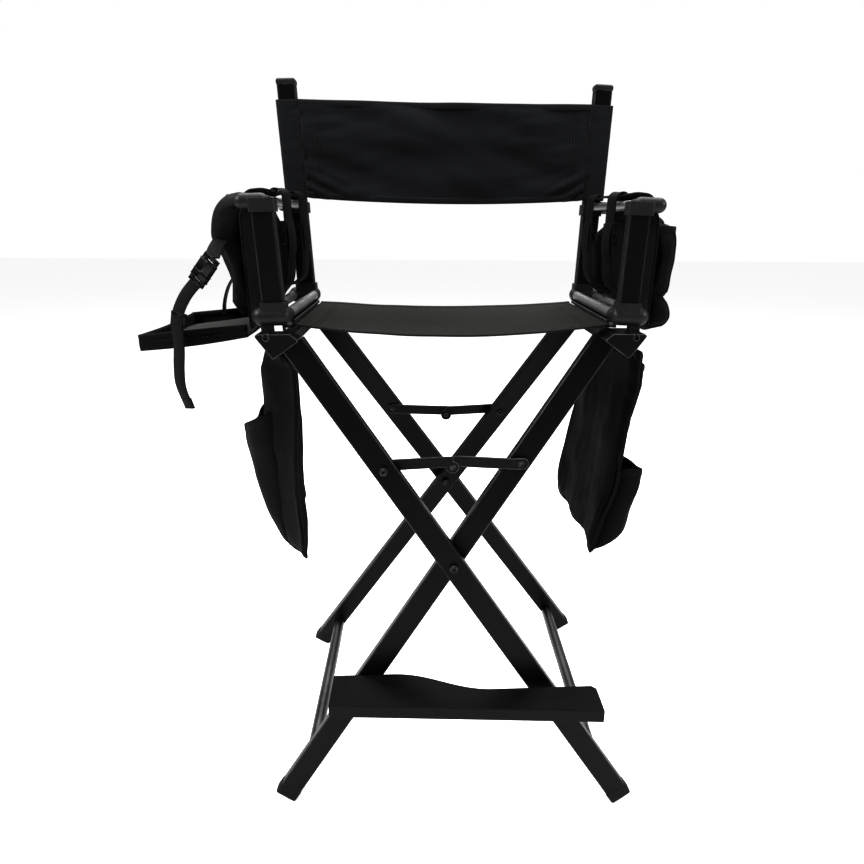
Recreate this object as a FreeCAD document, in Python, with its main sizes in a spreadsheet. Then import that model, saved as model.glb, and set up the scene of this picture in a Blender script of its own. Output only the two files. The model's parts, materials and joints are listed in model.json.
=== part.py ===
"""Tall folding director's chair with a footrest and two side organisers, in millimetres.

+Z is up, the front faces -Y and the origin is on the floor under the middle of the seat.
Two leg frames cross at a pivot in the middle. Frame A runs from the top left to the bottom
right and lies in the outer planes; frame B runs the other way in the inner planes. Both
planes lean, so the feet stand further apart, front to back, than the seat rails.
"""
import FreeCAD, Part
import math
import os
from FreeCAD import Placement, Rotation, Vector

SIZES = {
    # whole chair
    "overall_height": 1168,
    "post_half_gap": 257,
    "post_half_depth": 143,
    "arm_splay": 2.1,
    # crossed legs
    "cross_height": 428,
    "leg_angle": 34.3,
    "leg_lean": 7.7,
    "lean_start_height": 804,
    "leg_width": 36,
    "leg_depth": 20,
    "leg_wall": 1.6,
    "frame_step": 30,
    "leg_upper_length": 419,
    "leg_lower_length": 493,
    "foot_length": 20,
    "foot_plug_length": 24,
    "bolt_radius": 4,
    "running_gap": 0.06,
    "spacer_radius": 9,
    "spacer_length": 5,
    # arm hinge and its bracket
    "hinge_half_gap": 270,
    "hinge_height": 782.5,
    "bracket_front": 164,
    "bracket_depth_outer": 30,
    "bracket_depth_inner": 58,
    "lug_radius": 8.5,
    "lug_thickness": 10,
    "top_rail_width": 20,
    "top_rail_height": 16,
    "lower_rail_radius": 11,
    "lower_rail_height": 60,
    "lower_rail_half_gap": 243,
    # arm frame
    "seat_tube_radius": 8,
    "arm_tube_radius": 6.5,
    "tube_wall": 1.4,
    "seat_tube_height": 811,
    "arm_tube_height": 968,
    "seat_block_radius": 14,
    "arm_block_radius": 10.5,
    "post_width": 31,
    "post_depth": 18,
    "post_wall": 1.5,
    "post_cap_height": 9,
    "collar_wall": 3,
    "rail_width": 17,
    "rail_height": 12,
    "dowel_radius": 3,
    "seat_rail_length": 244,
    # folding braces
    "brace_height": 584,
    "brace_bar_height": 18,
    "brace_thickness": 2,
    "brace_lobe_radius": 10,
    "brace_rivet_drop": 9,
    "rivet_head": 0.8,
    "brace_end_room": 1.4,
    # footrest
    "footrest_height": 233,
    "footrest_thickness": 21,
    "footrest_hinge_drop": 22,
    "footrest_gap": 1.5,
    "peg_radius": 6,
    "peg_length": 46,
    # canvas and bags
    "canvas_thickness": 3,
    "seat_canvas_height": 796,
    "seat_sag": 15,
    "back_canvas_bottom": 980,
    "back_canvas_top": 1138,
    "strap_width": 22,
    "strap_thickness": 2,
}

X_AXIS = Vector(1, 0, 0)
Y_AXIS = Vector(0, 1, 0)
Z_AXIS = Vector(0, 0, 1)

doc = FreeCAD.newDocument("DirectorChair")
sheet = doc.addObject("Spreadsheet::Sheet", "Sizes")
for row, (alias, number) in enumerate(SIZES.items(), start=1):
    sheet.set(f"A{row}", alias)
    sheet.set(f"B{row}", str(number))
    sheet.setAlias(f"B{row}", alias)
doc.recompute()

nodes = {}


def size(alias):
    """The number in the sheet's cell of that name."""
    return float(getattr(sheet, alias))


def formula(text):
    """Turns 'leg_width / 2' into an expression that reads the sheet."""
    words = []
    for word in text.split(" "):
        words.append(f"Sizes.{word}" if word in SIZES else word)
    return " ".join(words)


def bind(feature, **sizes):
    """Binds each named property to a formula over the sheet's cells."""
    for name, text in sizes.items():
        feature.setExpression(name, formula(text))
    feature.recompute()


def box(length, width, height, centre=Vector()):
    """A box around its centre."""
    solid = doc.addObject("Part::Box", "Box")
    bind(solid, Length=length, Width=width, Height=height)
    half = Vector(solid.Length.Value, solid.Width.Value, solid.Height.Value) * 0.5
    solid.Placement = Placement(centre - half, Rotation())
    return solid


def rod(radius, length, centre=Vector(), along=Y_AXIS):
    """A cylinder around its centre, lying along a direction."""
    solid = doc.addObject("Part::Cylinder", "Rod")
    bind(solid, Radius=radius, Height=length)
    start = centre - along * (solid.Height.Value / 2)
    solid.Placement = Placement(start, Rotation(Z_AXIS, along))
    return solid


def ball(radius, centre):
    """A sphere."""
    solid = doc.addObject("Part::Sphere", "Ball")
    bind(solid, Radius=radius)
    solid.Placement = Placement(centre, Rotation())
    return solid


def fuse(pieces):
    """One solid from overlapping pieces."""
    joined = doc.addObject("Part::MultiFuse", "Joined")
    joined.Shapes = pieces
    joined.Refine = True
    return joined


def cut(base, *tools):
    """The base with each tool taken away."""
    for tool in tools:
        step = doc.addObject("Part::Cut", "Cut")
        step.Base = base
        step.Tool = tool
        base = step
    return base


def common(base, tool):
    """What the two solids share."""
    shared = doc.addObject("Part::Common", "Shared")
    shared.Base = base
    shared.Tool = tool
    return shared


def slab(points, thickness, normal_start):
    """A flat outline in the XZ plane, as (x, z) points, made thick along +Y."""
    outline = doc.addObject("Part::Feature", "Outline")
    corners = [Vector(x, normal_start, z) for x, z in points]
    outline.Shape = Part.makePolygon(corners + corners[:1])
    solid = doc.addObject("Part::Extrusion", "Slab")
    solid.Base = outline
    solid.Dir = Y_AXIS
    solid.DirMode = "Custom"
    solid.Solid = True
    bind(solid, LengthFwd=thickness)
    return solid


def rounded(base, radius, pick):
    """Rounds the base's edges that pick(edge) chooses."""
    doc.recompute()
    feature = doc.addObject("Part::Fillet", "Rounded")
    feature.Base = base
    chosen = [i for i, edge in enumerate(base.Shape.Edges, start=1) if pick(edge)]
    feature.Edges = [(i, radius, radius) for i in chosen]
    return feature


def lies_along(direction):
    """Picks straight edges that run along a direction."""
    def pick(edge):
        if not isinstance(edge.Curve, Part.Line):
            return False
        return abs(edge.Curve.Direction.dot(direction)) > 0.999
    return pick


def mirrored(source, normal):
    """The source seen in the plane through the origin with that normal."""
    copy = doc.addObject("Part::Mirroring", "Mirrored")
    copy.Source = source
    copy.Normal = normal
    return copy


def placed(source, placement):
    """The source moved by a placement, as a one-piece compound."""
    moved = doc.addObject("Part::Compound", "Placed")
    moved.Links = [source]
    moved.Placement = placement
    return moved


def node(label, pieces, placement=Placement()):
    """Names a sub-part. Several pieces stay separate solids of one node."""
    group = doc.addObject("Part::Compound", label)
    group.Links = pieces
    group.Label = label
    group.Placement = placement
    nodes[label] = group
    return group


# ---------------------------------------------------------------- leg frames

LEG_SLOPE = math.tan(math.radians(size("leg_angle")))
LEAN_SLOPE = math.tan(math.radians(size("leg_lean")))
CROSS = Vector(0, 0, size("cross_height"))
REST_TOP = size("footrest_height")
REST_BOTTOM = REST_TOP - size("footrest_thickness")
REST_HINGE_HEIGHT = REST_BOTTOM - size("footrest_hinge_drop")
PEG_HEIGHT = REST_BOTTOM - size("peg_radius") - 0.2


def plane_depth(height, inner):
    """Distance of a leg frame's middle plane in front of the chair's centre."""
    step = size("frame_step") if inner else 0
    return size("post_half_depth") + LEAN_SLOPE * (size("lean_start_height") - height) - step


def leg_placement(side, inner):
    """Where a front leg lies: local Z up the leg, local Y through its depth.

    side is -1 for the frame whose top is on the left and +1 for the other.
    """
    lean = math.radians(size("leg_lean"))
    turn = math.radians(size("leg_angle"))
    up = Vector(side * math.tan(turn), math.tan(lean), 1).normalize()
    through = X_AXIS.cross(up).normalize() * -1
    across = through.cross(up)
    turned = Rotation(across, through, up, "ZYX")
    return Placement(Vector(0, -plane_depth(size("cross_height"), inner), CROSS.z), turned)


def on_leg(place, distance, across=0.0):
    """A point on a leg's axis, a distance above the crossing."""
    return place.multVec(Vector(across, 0, distance))


def leg_height(height):
    """Distance along a leg from the crossing up to that height."""
    rise = height - size("cross_height")
    return rise * math.sqrt(1 + LEG_SLOPE ** 2 + LEAN_SLOPE ** 2)


def through_hole(place, height, radius="bolt_radius"):
    """A hole across a leg, parallel to the chair's Y axis, in the leg's own frame."""
    hole = rod(radius + " + running_gap", "leg_depth * 3")
    centre = on_leg(place, leg_height(height))
    level = Placement(centre - Y_AXIS * (hole.Height.Value / 2), Rotation(Z_AXIS, Y_AXIS))
    hole.Placement = place.inverse() * level
    return hole


def front_wall_hole(height):
    """A bolt hole square to a leg's front face, through that wall only, in the leg's own frame."""
    centre = Vector(0, -size("leg_depth") / 2, leg_height(height))
    return rod("bolt_radius + running_gap", "leg_depth", centre)


def leg(holes):
    """A rectangular tube with holes for the bolts that cross it, standing in its own frame."""
    middle = Vector(0, 0, (size("leg_upper_length") - size("leg_lower_length")) / 2)
    whole = "leg_upper_length + leg_lower_length"
    skin = rounded(box("leg_width", "leg_depth", whole, middle), 2.5, lies_along(Z_AXIS))
    core = box("leg_width - 2 * leg_wall", "leg_depth - 2 * leg_wall", "( " + whole + " ) * 2")
    return cut(skin, core, *holes)


def foot(place):
    """A rubber end cap with a plug inside the leg, cut flat where it stands on the floor."""
    end = -size("leg_lower_length")
    cap_middle = Vector(0, 0, end - size("foot_length") / 2)
    cap = box("leg_width + 2", "leg_depth + 2", "foot_length", cap_middle)
    cap = rounded(cap, 4, lambda edge: edge.CenterOfMass.z < end - 1)
    plug_middle = Vector(0, 0, end + size("foot_plug_length") / 2 - 1)
    inside = "2 * leg_wall - 2 * running_gap"
    plug = box("leg_width - " + inside, "leg_depth - " + inside, "foot_plug_length", plug_middle)
    floor_middle = Vector(on_leg(place, end).x, on_leg(place, end).y, -50)
    below = box("foot_length * 8", "foot_length * 8", "100", floor_middle)
    return cut(placed(fuse([cap, plug]), place), below)


def bracket(side, inner, leg_place):
    """A cast cap on a leg's top end, slotted for the arm's lug and bored for its pin."""
    out = side * size("hinge_half_gap")
    pin_height = size("hinge_height")
    outline = [(18, 5), (-34, 5.5), (-47, -4.5), (-8, -31.5)]
    points = [(out + side * x, pin_height + z) for x, z in outline]
    depth = "bracket_depth_inner" if inner else "bracket_depth_outer"
    body = slab(points, depth, -size("bracket_front"))
    body = rounded(body, 3, lies_along(Y_AXIS))
    middle = Vector(0, 0, size("leg_upper_length") - 60)
    socket = box("leg_width + 2 * running_gap", "leg_depth + 2 * running_gap", "121", middle)
    socket.Placement = leg_place * socket.Placement
    lug_depth = -size("post_half_depth")
    pin_at = Vector(out, lug_depth, pin_height)
    ring = rod("lug_radius + 2", "lug_thickness + 1", pin_at)
    # the slot's open top is longer on the outside, where the arm's neck swings
    mouth = box("44", "lug_thickness + 1", "20", pin_at + Vector(side * 9, 0, 10))
    bore = rod("bolt_radius + running_gap", "bracket_depth_inner * 2", pin_at)
    # an open notch in the front face shows the head of the hinge pin
    keyhole = box("6", "10", "12", pin_at + Vector(0, -size("bracket_front") - lug_depth, 6))
    return cut(body, socket, ring, mouth, bore, keyhole)


def pin(head_at, length, radius="bolt_radius", head="bolt_radius * 1.7"):
    """A pin along +Y with a domed hexagon-socket head at its front end."""
    shank = rod(radius, str(length), head_at + Y_AXIS * (length / 2))
    cap = rod(head, "bolt_radius", head_at - Y_AXIS * (size("bolt_radius") / 2))
    key = doc.addObject("Part::Prism", "Key")
    key.Polygon = 6
    bind(key, Circumradius="bolt_radius * 0.75", Height="bolt_radius * 0.6")
    key.Placement = Placement(head_at - Y_AXIS * size("bolt_radius"), Rotation(Z_AXIS, Y_AXIS))
    return cut(fuse([shank, cap]), key)


def front_and_rear(piece):
    """A front piece and its copy at the rear."""
    return [piece, mirrored(piece, Y_AXIS)]


def leg_frame(letter, side, inner):
    """One leg frame: two legs, their caps, the brackets and the rails that join them."""
    place = leg_placement(side, inner)
    bolt_holes = [through_hole(place, size(name)) for name in ("cross_height", "brace_height")]
    if inner:
        rest_hole = front_wall_hole(REST_HINGE_HEIGHT)
    else:
        rest_hole = through_hole(place, PEG_HEIGHT, "peg_radius")
    rear = placed(leg(bolt_holes), place)
    node(f"leg_front_{letter}", [placed(leg(bolt_holes + [rest_hole]), place)])
    node(f"leg_rear_{letter}", [mirrored(rear, Y_AXIS)])
    node(f"foot_caps_{letter}", front_and_rear(foot(place)))
    node(f"hinge_brackets_{letter}", front_and_rear(bracket(side, inner, place)))

    depth = size("bracket_depth_inner") if inner else size("bracket_depth_outer")
    reach = 2 * (size("bracket_front") - depth) - 0.2
    rail_at = Vector(side * (size("hinge_half_gap") - 20), 0, size("hinge_height") - 11)
    rail = box("top_rail_width", str(reach), "top_rail_height", rail_at)
    hollow = box("top_rail_width - 3", str(reach * 2), "top_rail_height - 3", rail_at)
    node(f"top_rail_{letter}", [cut(rail, hollow)])

    face = plane_depth(size("lower_rail_height"), inner) - size("leg_depth") / 2 - 1.8
    low_at = Vector(-side * size("lower_rail_half_gap"), 0, size("lower_rail_height"))
    tube = rod("lower_rail_radius", str(2 * face), low_at)
    inside = rod("lower_rail_radius - tube_wall", str(4 * face), low_at)
    node(f"lower_rail_{letter}", [cut(tube, inside)])

    hinge_at = Vector(side * size("hinge_half_gap"), -size("bracket_front") + 5, size("hinge_height"))
    node(f"hinge_pins_{letter}", front_and_rear(pin(hinge_at, depth - 7, head="2.9")))
    return place


frame_a = leg_frame("a", -1, False)
frame_b = leg_frame("b", 1, True)

# pivot bolts where the frames cross
outer_face = plane_depth(size("cross_height"), False) + size("leg_depth") / 2
inner_face = plane_depth(size("cross_height"), True) - size("leg_depth") / 2
LEAN_ROOM = 1.6
head_at = CROSS - Y_AXIS * (outer_face + LEAN_ROOM)
nut_at = CROSS - Y_AXIS * (inner_face - LEAN_ROOM - 3)
bolt_length = (nut_at - head_at).y + 3
node("pivot_bolts", front_and_rear(pin(head_at, bolt_length)))
nut = doc.addObject("Part::Prism", "Nut")
nut.Polygon = 6
bind(nut, Circumradius="bolt_radius * 1.9", Height="bolt_radius * 1.5")
nut.Placement = Placement(nut_at - Y_AXIS * 3, Rotation(Z_AXIS, Y_AXIS))
nut_bore = rod("bolt_radius", "bolt_radius * 9", nut_at)
spacer_at = CROSS - Y_AXIS * ((outer_face + inner_face) / 2)
spacer = rod("spacer_radius", "spacer_length", spacer_at)
spacer_bore = rod("bolt_radius", "spacer_length * 2", spacer_at)
node("pivot_nuts", front_and_rear(cut(nut, nut_bore)))
node("pivot_spacers", front_and_rear(cut(spacer, spacer_bore)))

# ---------------------------------------------------------------- folding braces

brace_half = (size("brace_height") - size("cross_height")) * LEG_SLOPE
gap_outer = plane_depth(size("brace_height"), False) - size("leg_depth") / 2
gap_inner = plane_depth(size("brace_height"), True) + size("leg_depth") / 2
brace_depth = (gap_outer + gap_inner) / 2
# each half steps inward on its way to the middle, as far as the leaning legs do when folded
brace_step = brace_half * math.sin(math.radians(size("leg_lean"))) * math.cos(
    math.radians(size("leg_angle")))


def end_depth(side):
    """Depth of a half's end: the right one keeps clear of the leg behind it."""
    return brace_depth + (size("brace_end_room") if side > 0 else 0)


def brace_bar(side, layer):
    """Half a brace, from its leg bolt to its round lobe at the middle rivet."""
    thick = size("brace_thickness")
    high = size("brace_bar_height") / 2
    bolt_y = -end_depth(side) - thick / 2
    lobe_y = -brace_depth + brace_step + layer * (thick / 2 + 0.15) - thick / 2
    # plan outline: flat at the bolt, a slanted run, flat at the lobe
    flat_end = brace_half - 12
    plan = [(brace_half + 12, bolt_y), (flat_end, bolt_y), (14, lobe_y), (-1, lobe_y)]
    back = [(x, y + thick) for x, y in reversed(plan)]
    outline = doc.addObject("Part::Feature", "Plan")
    corners = [Vector(side * x, y, size("brace_height") - high) for x, y in plan + back]
    outline.Shape = Part.makePolygon(corners + corners[:1])
    bar = doc.addObject("Part::Extrusion", "Bar")
    bar.Base = outline
    bar.Dir = Z_AXIS
    bar.DirMode = "Custom"
    bar.Solid = True
    bind(bar, LengthFwd="brace_bar_height")
    bar = rounded(bar, 8, lambda edge: lies_along(Y_AXIS)(edge)
                  and abs(edge.CenterOfMass.x) > brace_half)
    rivet_at = Vector(0, lobe_y + thick / 2, size("brace_height") - size("brace_rivet_drop"))
    lobe = rod("brace_lobe_radius", "brace_thickness", rivet_at)
    rivet_hole = rod("bolt_radius * 0.75 + running_gap", "brace_thickness * 4", rivet_at)
    bolt_at = Vector(side * brace_half, -end_depth(side), size("brace_height"))
    bolt_hole = rod("bolt_radius + running_gap", "brace_thickness * 4", bolt_at)
    return cut(fuse([bar, lobe]), rivet_hole, bolt_hole)


left_bar = brace_bar(-1, -1)
right_bar = brace_bar(1, 1)
node("brace_front_left", [left_bar])
node("brace_front_right", [right_bar])
node("brace_rear_left", [mirrored(left_bar, Y_AXIS)])
node("brace_rear_right", [mirrored(right_bar, Y_AXIS)])


def rivet(head_at, length, radius):
    """A rivet along +Y with a low flat head at its front end."""
    shank = rod(radius, str(length), head_at + Y_AXIS * (length / 2))
    head = rod("bolt_radius * 1.3", "rivet_head", head_at - Y_AXIS * (size("rivet_head") / 2))
    return fuse([shank, head])


lobe_front = -brace_depth + brace_step - size("brace_thickness") - 0.15
rivet_start = Vector(0, lobe_front - 0.1, size("brace_height") - size("brace_rivet_drop"))
brace_rivet = rivet(rivet_start, 2 * size("brace_thickness") + 0.6, "bolt_radius * 0.75")
end_face = -end_depth(1) - size("brace_thickness") / 2
end_start = Vector(brace_half, end_face - 0.1, size("brace_height"))
brace_end = rivet(end_start, size("brace_thickness") + 0.4, "bolt_radius")
node("brace_pins_front", [brace_rivet, brace_end])
node("brace_pins_rear", [mirrored(brace_rivet, Y_AXIS), mirrored(brace_end, Y_AXIS)])

# bolts that carry the left halves on frame A
bolt_depth = plane_depth(size("brace_height"), False) + size("leg_depth") / 2 + LEAN_ROOM
bolt_start = Vector(-brace_half, -bolt_depth, size("brace_height"))
leg_bolt = pin(bolt_start, bolt_depth - brace_depth + size("brace_thickness"))
node("brace_bolts", front_and_rear(leg_bolt))

# ---------------------------------------------------------------- footrest


def leg_face(height, inner):
    """Distance of a leg frame's front face in front of the chair's centre."""
    return plane_depth(height, inner) + size("leg_depth") / 2


def footrest():
    """A board that is deep on the left and curves to a shallow part in front of frame A."""
    # plan sizes: the front edge runs askew, the rear edge steps from deep to shallow
    left, right = -196, 228
    front_left, front_right = -275, -306
    corner = 7
    deep = -leg_face(REST_BOTTOM, True) - size("footrest_gap")
    shallow = -248
    body = doc.addObject("PartDesign::Body", "FootrestBody")
    plan = body.newObject("Sketcher::SketchObject", "FootrestPlan")
    planes = {plane.Role: plane for plane in body.Origin.OriginFeatures}
    plan.AttachmentSupport = [(planes["XY_Plane"], "")]
    plan.MapMode = "FlatFace"
    bend_start, bend_end = Vector(-100, deep, 0), Vector(62, shallow, 0)
    reach = 62
    poles = [bend_start, bend_start + X_AXIS * reach, bend_end - X_AXIS * reach, bend_end]
    bend = Part.BSplineCurve()
    bend.buildFromPoles(poles, False, 3)
    corners = [bend_end, Vector(right - corner, shallow, 0), Vector(right, shallow - corner, 0),
               Vector(right, front_right, 0), Vector(left, front_left, 0), Vector(left, deep, 0),
               bend_start]
    plan.addGeometry(bend, False)
    for start, end in zip(corners, corners[1:]):
        plan.addGeometry(Part.LineSegment(start, end), False)
    pad = body.newObject("PartDesign::Pad", "FootrestPad")
    pad.Profile = plan
    bind(pad, Length="footrest_thickness")
    body.Placement = Placement(Vector(0, 0, REST_BOTTOM), Rotation())
    doc.recompute()
    return body


node("footrest_board", [footrest()])

# an angle plate under the board: its ear stands against frame B's leg, square to the hinge bolt
EAR = 3.5
ear_gap = size("leg_depth") / 2 + 1
ear_top = REST_BOTTOM - 0.05
rest_hinge_at = on_leg(frame_b, leg_height(REST_HINGE_HEIGHT))
leaning = Placement(rest_hinge_at, Rotation(X_AXIS, -size("leg_lean")))
ear = box("24", str(EAR), "footrest_hinge_drop * 2", Vector(0, -ear_gap - EAR / 2, 11))
ear_hole = rod("bolt_radius + running_gap", str(EAR * 4), Vector(0, -ear_gap, 0))
ear = placed(cut(ear, ear_hole), leaning)
ear = common(ear, box("200", "200", "200", Vector(rest_hinge_at.x, rest_hinge_at.y, ear_top - 100)))
plate_depth = 34
plate_middle = -leg_face(REST_BOTTOM, True) - size("footrest_gap") - plate_depth / 2
foot_plate = box("60", str(plate_depth), "3", Vector(rest_hinge_at.x, plate_middle, ear_top - 1.5))
node("footrest_hinge_plate", [fuse([ear, foot_plate])])
rest_bolt = pin(Vector(0, -ear_gap - EAR - 0.2, 0), EAR + 12)
node("footrest_bolt", [placed(rest_bolt, leaning)])

peg_start = leg_face(PEG_HEIGHT, False) - 8
peg_at = on_leg(frame_a, leg_height(PEG_HEIGHT))
peg_middle = Vector(peg_at.x, -peg_start - size("peg_length") / 2, PEG_HEIGHT)
node("footrest_peg", [rod("peg_radius", "peg_length", peg_middle)])

# ---------------------------------------------------------------- arm frames

# distances out and reaches of the left arm's parts before the splay
HINGE_OUT = size("hinge_half_gap")
POST_OUT = size("post_half_gap")
DEPTH = size("post_half_depth")
SEAT_TUBE_OUT = (242, 280)
ARM_TUBE_OUT = (255.5, 284.5)
SEAT_BLOCK = (233, 290)
ARM_BLOCK = (248, 295)
TUBE_REACH = 133
arm_hinge = Vector(-HINGE_OUT, 0, size("hinge_height"))
splay = Placement(Vector(), Rotation(Y_AXIS, -size("arm_splay")), arm_hinge)


def capsule(radius, low_out, high_out, depth, height):
    """A bar across the chair with domed ends, on the left side."""
    fat = size(radius)
    span = Vector(-(low_out + high_out) / 2, depth, height)
    ends = [Vector(-low_out - fat, depth, height), Vector(-high_out + fat, depth, height)]
    bar = rod(radius, str(high_out - low_out - 2 * fat), span, X_AXIS)
    return fuse([bar, ball(radius, ends[0]), ball(radius, ends[1])])


def tube_holes(radius, outs, height):
    """Sockets for a pair of tubes."""
    reach = 2 * TUBE_REACH + 2
    return [rod(f"{radius} + running_gap", str(reach), Vector(-out, 0, height)) for out in outs]


def tube_collars(radius, outs, depth, height):
    """Round collars that carry the ends of a pair of tubes on one block."""
    length = 16
    start = depth - math.copysign(length / 2 + 4, depth)
    return [rod(f"{radius} + collar_wall / 2", str(length), Vector(-out, start, height)) for out in outs]


def post_hole(depth, height, length):
    """A socket for a post."""
    return box("post_width + 2 * running_gap", "post_depth + 2 * running_gap", str(length),
               Vector(-POST_OUT, depth, height))


def seat_block(depth):
    """A moulded block that joins a post, two seat tubes and the hinge lug."""
    height = size("seat_tube_height")
    body = capsule("seat_block_radius", *SEAT_BLOCK, depth, height)
    collar_box = box("post_width + 2 * collar_wall", "post_depth + 2 * collar_wall", "20",
                     Vector(-POST_OUT, depth, height + 10))
    collar = rounded(collar_box, 3, lies_along(Z_AXIS))
    pin_at = Vector(-HINGE_OUT, depth, size("hinge_height"))
    rise = height - size("hinge_height")
    neck = box("lug_radius * 2", "lug_thickness", str(rise), pin_at + Vector(0, 0, rise / 2))
    ring = rod("lug_radius", "lug_thickness", pin_at)
    bore = rod("bolt_radius + running_gap", "lug_thickness * 2", pin_at)
    tube_ends = tube_collars("seat_tube_radius", SEAT_TUBE_OUT, depth, height)
    whole = fuse([body, collar, neck, ring] + tube_ends)
    holes = tube_holes("seat_tube_radius", SEAT_TUBE_OUT, height)
    return cut(whole, bore, post_hole(depth, height + 32, 60), *holes)


def arm_block(depth):
    """A moulded block at arm height; the rear one lets its post pass through."""
    height = size("arm_tube_height")
    body = capsule("arm_block_radius", *ARM_BLOCK, depth, height)
    low = height - size("arm_block_radius")
    collar_box = box("post_width + 2 * collar_wall", "post_depth + 2 * collar_wall", "18",
                     Vector(-POST_OUT, depth, low + 5))
    collar = rounded(collar_box, 3, lies_along(Z_AXIS))
    whole = fuse([body, collar] + tube_collars("arm_tube_radius", ARM_TUBE_OUT, depth, height))
    at_rear = depth > 0
    hole = post_hole(depth, height, 120) if at_rear else post_hole(depth, low - 27, 60)
    return cut(whole, hole, *tube_holes("arm_tube_radius", ARM_TUBE_OUT, height))


def tubes(radius, outs, height):
    """The inner and outer tubes between two blocks."""
    made = []
    for out in outs:
        at = Vector(-out, 0, height)
        made.append(cut(rod(radius, str(2 * TUBE_REACH + 1.4), at),
                        rod(f"{radius} - tube_wall", str(4 * TUBE_REACH), at)))
    return made


def post(depth, top):
    """A rectangular tube standing in a seat block."""
    bottom = size("seat_tube_height") + 2.2
    middle = Vector(-POST_OUT, depth, (bottom + top) / 2)
    skin = rounded(box("post_width", "post_depth", str(top - bottom), middle), 2.5,
                   lies_along(Z_AXIS))
    core = box("post_width - 2 * post_wall", "post_depth - 2 * post_wall", "1000", middle)
    return cut(skin, core)


arm_height = size("arm_tube_height")
post_top = size("overall_height") - size("post_cap_height") + 0.8
front_top = arm_height - size("arm_block_radius") + 2.6
cap_middle = Vector(-POST_OUT, DEPTH, post_top + size("post_cap_height") / 2)
cap = rounded(box("post_width + 1", "post_depth + 1", "post_cap_height", cap_middle), 5,
              lambda edge: edge.CenterOfMass.z > post_top + size("post_cap_height") - 0.5)
inside = "2 * post_wall - 2 * running_gap"
plug = box("post_width - " + inside, "post_depth - " + inside, "16",
           Vector(-POST_OUT, DEPTH, post_top - 7))
canvas_rail_at = Vector(-241.5, 0, size("seat_canvas_height"))
canvas_rail = box("rail_width", "seat_rail_length", "rail_height", canvas_rail_at)
rail_bore = rod("dowel_radius + 1.4", "300", canvas_rail_at)
rail_slot = box("rail_width", "300", "dowel_radius", canvas_rail_at + Vector(10, 0, 0))
left_arm = {
    "seat_blocks": [seat_block(-DEPTH), seat_block(DEPTH)],
    "arm_blocks": [arm_block(-DEPTH), arm_block(DEPTH)],
    "seat_tubes": tubes("seat_tube_radius", SEAT_TUBE_OUT, size("seat_tube_height")),
    "arm_tubes": tubes("arm_tube_radius", ARM_TUBE_OUT, arm_height),
    "posts": [post(-DEPTH, front_top), post(DEPTH, post_top)],
    "post_cap": [fuse([cap, plug])],
    "seat_rail": [cut(canvas_rail, rail_bore, rail_slot)],
    "seat_dowel": [rod("dowel_radius", "seat_rail_length", canvas_rail_at)],
}
for name, pieces in left_arm.items():
    left_node = node(f"{name}_left", pieces, splay)
    node(f"{name}_right", [mirrored(left_node, X_AXIS)])

# ---------------------------------------------------------------- canvases


def splayed(out, height):
    """Where the splay carries a point of the left arm, as a distance out and a height."""
    moved = splay.multVec(Vector(-out, 0, height))
    return -moved.x, moved.z


def seat_canvas():
    """A slab that sags between the two seat rails."""
    out, height = splayed(231.5, size("seat_canvas_height"))
    thick = size("canvas_thickness")
    front = -DEPTH + thick
    curves = []
    for level in (height + thick / 2, height - thick / 2):
        ends_and_middle = [Vector(-out, front, level), Vector(0, front, level - size("seat_sag")),
                           Vector(out, front, level)]
        curves.append(Part.Arc(*ends_and_middle).toShape())
    top, low = curves
    ends = [Part.makeLine(top.Vertexes[i].Point, low.Vertexes[i].Point) for i in (0, 1)]
    face = Part.Face(Part.Wire(Part.__sortEdges__([top, low] + ends)))
    feature = doc.addObject("Part::Feature", "SeatCanvas")
    feature.Shape = face.extrude(Y_AXIS * (-2 * front))
    return feature


def back_canvas():
    """Two sleeves around the rear posts with a double layer stretched between them."""
    low, high = size("back_canvas_bottom"), size("back_canvas_top")
    tall = str(high - low)
    around = Vector(-POST_OUT, DEPTH, (low + high) / 2)
    wall = "2 * canvas_thickness"
    sleeve = cut(box("post_width + 2 + " + wall, "post_depth + 2 + " + wall, tall, around),
                 box("post_width + 2", "post_depth + 2", "1000", around))
    sleeve = placed(sleeve, splay)
    inner_out, _ = splayed(POST_OUT - size("post_width") / 2 - 2, high)
    front = DEPTH - size("post_depth") / 2 - 1 - size("canvas_thickness") / 2
    low_out, _ = splayed(POST_OUT - size("post_width") / 2 - 2, low)
    tilt = splayed(POST_OUT, low)[1]
    points = [(-low_out, tilt), (low_out, tilt), (inner_out, tilt + high - low - 0.5),
              (-inner_out, tilt + high - low - 0.5)]
    panel = slab(points, "canvas_thickness", front - size("canvas_thickness") / 2)
    return fuse([sleeve, mirrored(sleeve, X_AXIS), panel])


node("seat_canvas", [seat_canvas()])
node("back_canvas", [back_canvas()])

# ---------------------------------------------------------------- side organisers


def shell(points, front, back):
    """A closed soft shape: an outline in the XZ plane carried from front to back."""
    return slab(points, str(back - front), front)


def strap(path, depth):
    """A flat webbing strap that follows (x, z) points."""
    thick = size("strap_thickness")
    side = []
    for index, (x, z) in enumerate(path):
        before = Vector(*path[max(index - 1, 0)], 0)
        after = Vector(*path[min(index + 1, len(path) - 1)], 0)
        along = (after - before).normalize()
        side.append((x - along.y * thick, z + along.x * thick))
    half = size("strap_width") / 2
    return shell(list(path) + side[::-1], depth - half, depth + half)


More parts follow.
